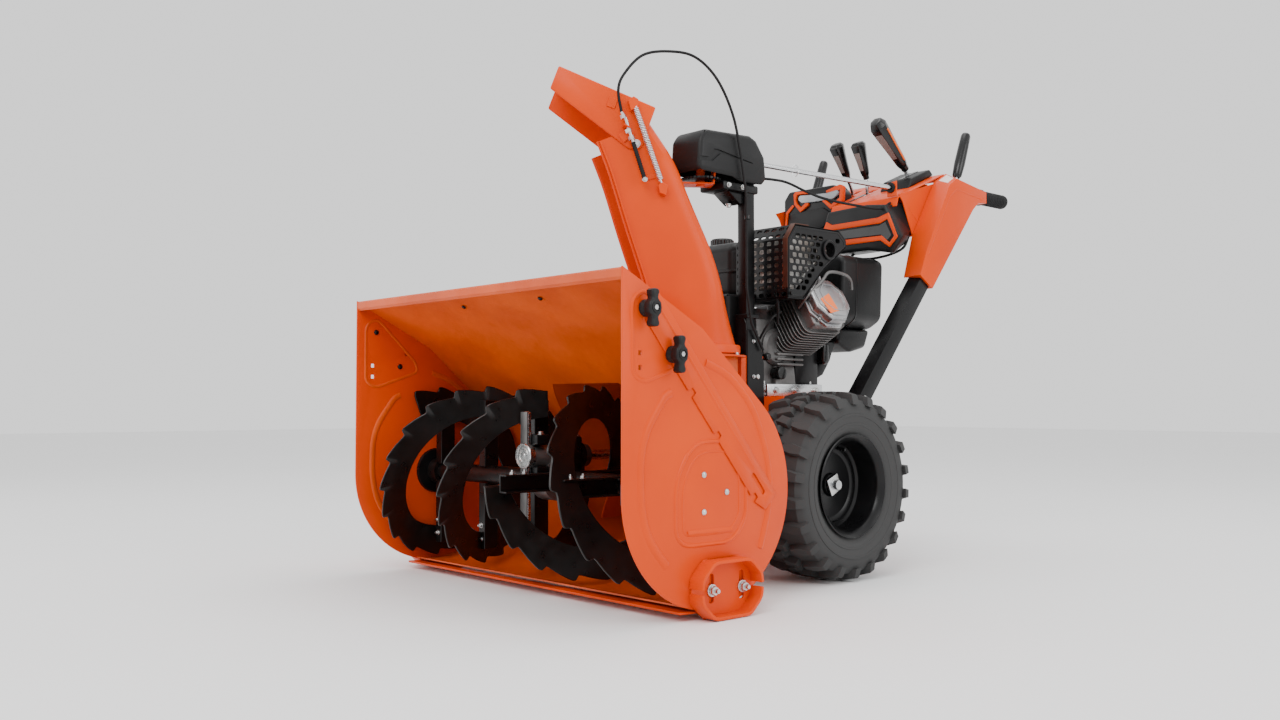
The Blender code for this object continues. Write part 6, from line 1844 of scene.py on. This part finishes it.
@dataclass
class Dash:
    """Folded orange dash with a black console, levers, lamp and front panel."""

    def build(self) -> None:
        """Make the dash's pieces."""
        self.panel()
        self.speed_lever()
        self.small_lever("deflector_lever", 0.030, 1.240, (1.232, 0.984), (1.196, 1.070), Body.HOOD_LEVER)
        self.small_lever("chute_lever", -0.035, 1.262, (1.236, 0.990), (1.186, 1.074), Body.CHUTE_LEVER)
        self.lamp()
        self.fascia()
        self.details()

    def panel(self) -> None:
        """The dash itself and the console set in its top."""
        dressed("dash_panel", PAINT, Body.MACHINE, 0.0016, 2)
        wedge = softened(prism("X", [(1.222, 0.9315), (1.238, 0.9600), (1.318, 0.9930), (1.334, 0.9795)],
                               0.080, 0.172), 0.004, 3)
        add_piece("speed_console", wedge, PLASTIC, Body.MACHINE)
        slot = prism("X", [(1.2435, 0.9600), (1.2430, 0.9630), (1.3155, 0.9930),
                           (1.3160, 0.9900)], 0.123, 0.137)
        add_piece("speed_slot", slot, GLOSS, Body.MACHINE)
        strip = prism("X", [(1.160, 0.9055), (1.1594, 0.9072), (1.226, 0.9350),
                            (1.2266, 0.9333)], 0.025, 0.035)
        add_piece("dash_slots", strip, GLOSS, Body.MACHINE)

    @staticmethod
    def head(route: list[Vector], sizes: list[float], width: float) -> bmesh.types.BMesh:
        """A faceted lever head: six-sided sections along a route, wider than they are deep."""
        rows = []
        for i, (point, size) in enumerate(zip(route, sizes)):
            run = (route[min(i + 1, len(route) - 1)] - route[max(i - 1, 0)]).normalized()
            across = Vector((1, 0, 0))
            deep = run.cross(across).normalized()
            shape = ((-1, 0.0), (-0.62, 0.84), (0.62, 0.84), (1, 0.0), (0.62, -0.84), (-0.62, -0.84))
            rows.append([point + across * (a * size * width) + deep * (b * size) for a, b in shape])
        return softened(grid(rows, False, True, True), 0.0016, 2, 22)

    @staticmethod
    def inlay(low: Vector, high: Vector, up: Vector, steps: tuple) -> list[bmesh.types.BMesh]:
        """Soft inlays on the top and the underside of a lever head.

        Args:
            low: The head's foot.
            high: Its tip.
            up: The way its top faces.
            steps: For each section its share of the length, its half width and its height.
        """
        made = []
        for way in (up, -up):
            rows = []
            for share, width, rise in steps:
                middle = low.lerp(high, share) + way * rise
                side = Vector((width, 0, 0))
                rows.append([middle - side, middle + side, middle + side - way * 0.004,
                             middle - side - way * 0.004])
            made.append(softened(grid(rows, False, True, True), 0.0008, 1, 40))
        return made

    def speed_lever(self) -> None:
        """The tall speed lever."""
        x = 0.130
        knee, tip = Vector((x, 1.262, 0.998)), Vector((x, 1.140, 1.098))
        stem = softened(prism("X", sheet_outline([(1.300, 0.925), (1.287, 0.962), (1.262, 0.998)], 0.006),
                              x - 0.0050, x + 0.0050), 0.0008, 1)
        way = (tip - knee).normalized()
        collar = rod(tuple(knee - way * 0.010), tuple(knee + way * 0.016), 0.0095, 8, 0.0115)
        shares = (0.02, 0.10, 0.40, 0.70, 0.90, 1.0)
        sizes = [0.0120, 0.0150, 0.0180, 0.0218, 0.0240, 0.0165]
        head = self.head([knee.lerp(tip, s) for s in shares], sizes, 0.92)
        add_piece("speed_stem", stem, BRIGHT, Body.SPEED)
        add_piece("speed_head", joined(head, collar), GLOSS, Body.SPEED, "speed_lever", angle=26)
        up = way.cross(Vector((1, 0, 0))).normalized()
        if up.z < 0:
            up = -up
        rows = self.inlay(knee, tip, up, ((0.14, 0.0076, 0.0128), (0.40, 0.0094, 0.0153),
                                          (0.66, 0.0112, 0.0182),
                                          (0.80, 0.0112, 0.0196)))
        add_piece("speed_inlay", joined(*rows), INLAY, Body.SPEED, angle=40)
        line = [knee.lerp(tip, s) + Vector((w, 0, 0))
                for s, w in ((0.14, 0.0138), (0.45, 0.0172), (0.82, 0.0216))]
        add_piece("speed_strip", tube(line, 0.0026, 8), LABEL, Body.SPEED)

    def small_lever(self, node: str, x: float, pivot: float, knee: Pair, tip: Pair, body: Body) -> None:
        """One of the two short levers."""
        low, high = Vector((x, *knee)), Vector((x, *tip))
        way = (high - low).normalized()
        stem = softened(prism("X", sheet_outline([(pivot, 0.925), (pivot - 0.004, 0.955), knee], 0.005),
                              x - 0.0042, x + 0.0042), 0.0006, 1)
        collar = rod(tuple(low - way * 0.008), tuple(low + way * 0.012), 0.0078, 8, 0.0094)
        shares = (0.02, 0.12, 0.45, 0.78, 0.92, 1.0)
        sizes = [0.0100, 0.0124, 0.0154, 0.0195, 0.0210, 0.0145]
        head = self.head([low.lerp(high, s) for s in shares], sizes, 0.95)
        add_piece(f"{node}_stem", stem, BRIGHT, body)
        add_piece(f"{node}_head", joined(head, collar), GLOSS, body, node, angle=26)
        up = way.cross(Vector((1, 0, 0))).normalized()
        if up.z < 0:
            up = -up
        rows = self.inlay(low, high, up, ((0.18, 0.0064, 0.0109), (0.42, 0.0078, 0.0131),
                                          (0.72, 0.0094, 0.0160)))
        add_piece(f"{node}_inlay", joined(*rows), INLAY, body, angle=40)

    def lamp(self) -> None:
        """Lamp pod: black shell, orange angular frame and an oval lens."""
        x0, x1, y0, y1, z0, z1 = -0.200, -0.010, 1.165, 1.225, 0.820, 0.962
        shell = softened(prism("Y", [(x0, 0.846), (x0 + 0.022, z0), (x1 - 0.020, z0), (x1, 0.846),
                                     (x1, z1 - 0.020),
                                     (x1 - 0.018, z1), (x0 + 0.018, z1), (x0, z1 - 0.022)], y0, y1), 0.006, 3)
        add_piece("lamp_shell", shell, SATIN, Body.MACHINE, "headlamp_pod")
        left = [(-0.1082, 0.9536), (-0.1527, 0.9583), (-0.1597, 0.9515), (-0.1570, 0.9227), (-0.1356, 0.8989),
                (-0.1079, 0.9151), (-0.1078, 0.9222), (-0.1181, 0.9227), (-0.1343, 0.9122), (-0.1482, 0.9256),
                (-0.1516, 0.9369), (-0.1469, 0.9480), (-0.1353, 0.9491), (-0.1082, 0.9464)]
        right = [(-0.0473, 0.9470), (-0.0005, 0.9580), (0.0113, 0.9512), (0.0083, 0.9138), (-0.0311, 0.8949),
                 (-0.0614, 0.9225), (-0.0475, 0.9215), (-0.0299, 0.9070), (-0.0019, 0.9225), (0.0004, 0.9431),
                 (-0.0446, 0.9405)]
        brows = [softened(prism("Y", shape, 1.1580, 1.1700), 0.0014, 2, 40) for shape in (left, right)]
        edge = [(-0.1950, 0.8600), (-0.1915, 0.9050), (-0.1668, 0.9246), (-0.1609, 0.9194), (-0.1823, 0.9007),
                (-0.1870, 0.8600)]
        brows.append(softened(prism("Y", edge, 1.1620, 1.1690), 0.0010, 1, 40))
        add_piece("lamp_brows", joined(*brows), PAINT, Body.MACHINE, angle=40)
        eye = rounded([(-0.1390, 0.9462), (-0.1074, 0.9433), (-0.0454, 0.9407), (-0.0069, 0.9451),
                       (-0.0026, 0.9332), (-0.0207, 0.9221), (-0.0735, 0.9215), (-0.1305, 0.9235),
                       (-0.1443, 0.9347)], 0.006, True, 4)
        socket = softened(prism("Y", offset_path(eye, -0.0030, True), 1.1600, 1.1660), 0.0012, 2, 40)
        add_piece("lamp_socket", socket, GLOSS, Body.MACHINE, angle=40)
        lens = softened(prism("Y", eye, 1.1575, 1.1640), 0.0022, 3, 40)
        add_piece("lamp_lens", lens, LENS, Body.MACHINE, angle=40)
        chin = softened(prism("Y", [(-0.1800, 0.8600), (-0.1700, 0.9000), (-0.0600, 0.9040),
                                    (-0.0300, 0.8850),
                                    (-0.0560, 0.8500), (-0.1500, 0.8400)], 1.1590, 1.1660), 0.0030, 2, 40)
        add_piece("lamp_chin", chin, PLASTIC, Body.MACHINE, angle=40)

    def fascia(self) -> None:
        """Front panel below the dash, with a pointed orange border."""
        front = [(-0.0200, 0.8000), (0.0077, 0.8754), (0.0741, 0.8778), (0.1300, 0.8800), (0.1900, 0.8730),
                 (0.2330, 0.7912), (0.2042, 0.7510), (0.1348, 0.7646), (0.0300, 0.7640)]
        back = [(-0.0060, 0.8000), (0.0077, 0.8800), (0.0741, 0.8830), (0.1300, 0.8860), (0.2010, 0.8873),
                (0.2030, 0.8118), (0.1980, 0.7900), (0.1348, 0.7700), (0.0300, 0.7680)]
        rows = [[Vector((x, 1.100, z)) for x, z in front], [Vector((x, 1.112, z)) for x, z in front],
                [Vector((x, 1.183, z)) for x, z in back]]
        rows.insert(0, [Vector((0.1 + (x - 0.1) * 0.95, 1.0965, 0.818 + (z - 0.818) * 0.88))
                        for x, z in front])
        body = softened(grid(rows, False, True, True), 0.0020, 2, 24)
        add_piece("fascia_moulded", body, PLASTIC, Body.MACHINE, "front_fascia", angle=30)
        outer = [(-0.0150, 0.8100), (0.0064, 0.8500), (0.0252, 0.8398), (0.1696, 0.8422), (0.2003, 0.8507),
                 (0.2270, 0.7892), (0.2033, 0.7650), (0.1765, 0.7840), (0.0670, 0.7829), (-0.0049, 0.7846)]
        hole = [(0.0035, 0.8160), (0.0277, 0.8259), (0.1769, 0.8270), (0.1977, 0.8356), (0.2175, 0.7917),
                (0.2035, 0.7760), (0.1815, 0.7958), (0.0328, 0.7975)]
        band = softened(punched("Y", outer, [hole], 1.0935, 1.0985), 0.0010, 2, 50)
        add_piece("fascia_border", band, PAINT, Body.MACHINE, angle=40)
        inset = softened(prism("Y", [(0.105 + (x - 0.105) * 0.93, 0.807 + (z - 0.807) * 0.80)
                                     for x, z in hole],
                               1.0945, 1.0980), 0.0010, 1, 50)
        add_piece("fascia_inset", inset, GLOSS, Body.MACHINE)

    def details(self) -> None:
        """Painted reflections on the tops beside the dash, cheeks, rod bracket and the cables below the dash.
        """
        # Thin pale patches lying on the tops beside the dash: painted reflections of light.
        reflection_patches = []
        for sign in (-1, 1):
            inner_low, inner_high = Vector((sign * 0.2055, 1.284, 0.950)), Vector((sign * 0.2055,
                                                                                   1.338, 0.979))
            outer_low, outer_high = Vector((sign * 0.2640, 1.268, 0.933)), Vector((sign * 0.2640,
                                                                                   1.300, 0.953))
            up = (inner_high - inner_low).cross(outer_low - inner_low).normalized()
            up = up if up.z > 0 else -up
            corners = []
            for s, t in ((0.20, 0.20), (0.20, 0.92), (0.80, 0.88), (0.80, 0.16)):
                low, high = inner_low.lerp(outer_low, s), inner_high.lerp(outer_high, s)
                corners.append(low.lerp(high, t))
            reflection_patches.append(grid([[c - up * 0.002 for c in corners], [c + up * 0.0014 for c in corners]],
                                False, True, True))
        add_piece("side_reflectors", joined(*reflection_patches), PAINTED_REFLECTION, Body.MACHINE)
        apron = softened(prism("X", sheet_outline([(1.258, 0.941), (1.212, 0.806), (1.188, 0.801)], 0.003),
                               0.045, 0.2045), 0.0006, 1)
        cheek = [(1.1343, 0.9010), (1.2840, 0.9455), (1.2397, 0.8098), (1.1900, 0.8016), (1.1870, 0.8105),
                 (1.1500, 0.8850)]
        sides = [softened(prism("X", cheek, *sorted((sign * 0.2015, sign * 0.2046))), 0.0006, 1)
                 for sign in (-1, 1)]
        creases = [ridge(path, 0.2044, 1, 0.004, 0.0012) for path in (
            [(1.1754, 0.8710), (1.2360, 0.8230)], [(1.2800, 0.9400), (1.2397, 0.8140)])]
        add_piece("dash_cheeks", joined(apron, *sides, *creases), PAINT, Body.MACHINE, angle=40)
        plate = softened(prism("Y", [(0.176, 0.896), (0.204, 0.896), (0.204, 0.934), (0.176, 0.930)],
                               1.124, 1.128),
                         0.0008, 1)
        grommet = lathe("Y", (0.1880, 0.918),
                        [(0.012, 1.119), (0.013, 1.121), (0.013, 1.132), (0.0064, 1.132),
                                               (0.0064, 1.119)], 28)
        add_piece("rod_bracket", plate, PAINT, Body.MACHINE)
        add_piece("rod_grommet", grommet, RUBBER, Body.MACHINE)
        routes = [
            [(0.2000, 1.180, 0.800), (0.1980, 1.160, 0.770), (0.1681, 1.150, 0.7554), (0.1176, 1.150, 0.7497),
             (0.0815, 1.150, 0.7509)],
            [(0.0600, 1.140, 0.765), (0.0500, 1.120, 0.750), (0.0300, 1.080, 0.752), (0.0000, 1.000, 0.760)],
        ]
        cables = [tube(smooth_route(route, 7), 0.0034, 10) for route in routes]
        add_piece("control_cables", joined(*cables), RUBBER, Body.MACHINE, angle=60)


# ------------------------------------------------------------------------- stage and camera


def look(obj: bpy.types.Object, spot: Point, target: Point) -> None:
    """Stand an object at a point, facing another."""
    obj.location = spot
    obj.rotation_euler = (Vector(target) - Vector(spot)).to_track_quat("-Z", "Y").to_euler()


def area_lamp(name: str, spot: Point, target: Point, size: float, power: float) -> bpy.types.Object:
    """A soft square lamp."""
    data = bpy.data.lights.new(name, "AREA")
    data.shape, data.size, data.energy = "SQUARE", size, power
    obj = bpy.data.objects.new(name, data)
    bpy.context.scene.collection.objects.link(obj)
    look(obj, spot, target)
    return obj


def set_stage() -> None:
    """A pale floor under soft studio light."""
    bm = bmesh.new()
    bmesh.ops.create_grid(bm, x_segments=1, y_segments=1, size=14)
    floor = to_object("studio_floor", bm)
    floor.location = (0, 0, -0.0015)
    floor.data.materials.append(FLOOR.material())
    world = bpy.data.worlds.new("studio")
    world.use_nodes = True
    sky = world.node_tree.nodes["Background"]
    sky.inputs["Color"].default_value = (1, 1, 1, 1)
    sky.inputs["Strength"].default_value = 1.25
    bpy.context.scene.world = world
    middle = (0, 0, 0.5)
    lamps = [
        area_lamp("key", (1.6, -3.0, 3.2), middle, 2.0, 80),
        area_lamp("left_fill", (3.6, 0.6, 1.9), middle, 2.0, 45),
        area_lamp("front_fill", (-2.8, -3.0, 1.5), middle, 2.2, 25),
        area_lamp("top", (0.0, 0.4, 3.8), middle, 2.2, 45),
    ]


def set_camera() -> None:
    """A camera at the angle of the reference."""
    turn, lift = math.radians(48.0835), math.radians(2.1188)
    way = Vector((-math.sin(turn) * math.cos(lift), math.cos(turn) * math.cos(lift), math.sin(lift)))
    data = bpy.data.cameras.new("camera")
    data.lens, data.sensor_width = 32.675, 36.0
    camera = bpy.data.objects.new("camera", data)
    bpy.context.scene.collection.objects.link(camera)
    camera.location = (1.9172, -2.0517, 0.3802)
    camera.rotation_euler = way.to_track_quat("-Z", "Y").to_euler()
    bpy.context.scene.camera = camera


def build_all() -> None:
    """Make every sub-assembly."""
    parts = [AugerHousing(), Auger(), Impeller(), Chute(), ChuteDrive(), Tractor(), Engine()]
    parts += [Handle(side) for side in SIDES] + [Dash()]
    for part in parts:
        LOG.info("building %s", type(part).__name__)
        part.build()


def main() -> None:
    """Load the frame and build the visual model."""
    logging.basicConfig(level=logging.INFO, format="%(levelname)s %(message)s")
    NODES.update(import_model()["nodes"])
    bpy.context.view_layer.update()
    TREES.update(ring=ring_tree(), row=row_tree(), fastener=fastener_tree(), coil=coil_tree())
    build_all()
    set_stage()
    set_camera()


if __name__ == "__main__":
    main()
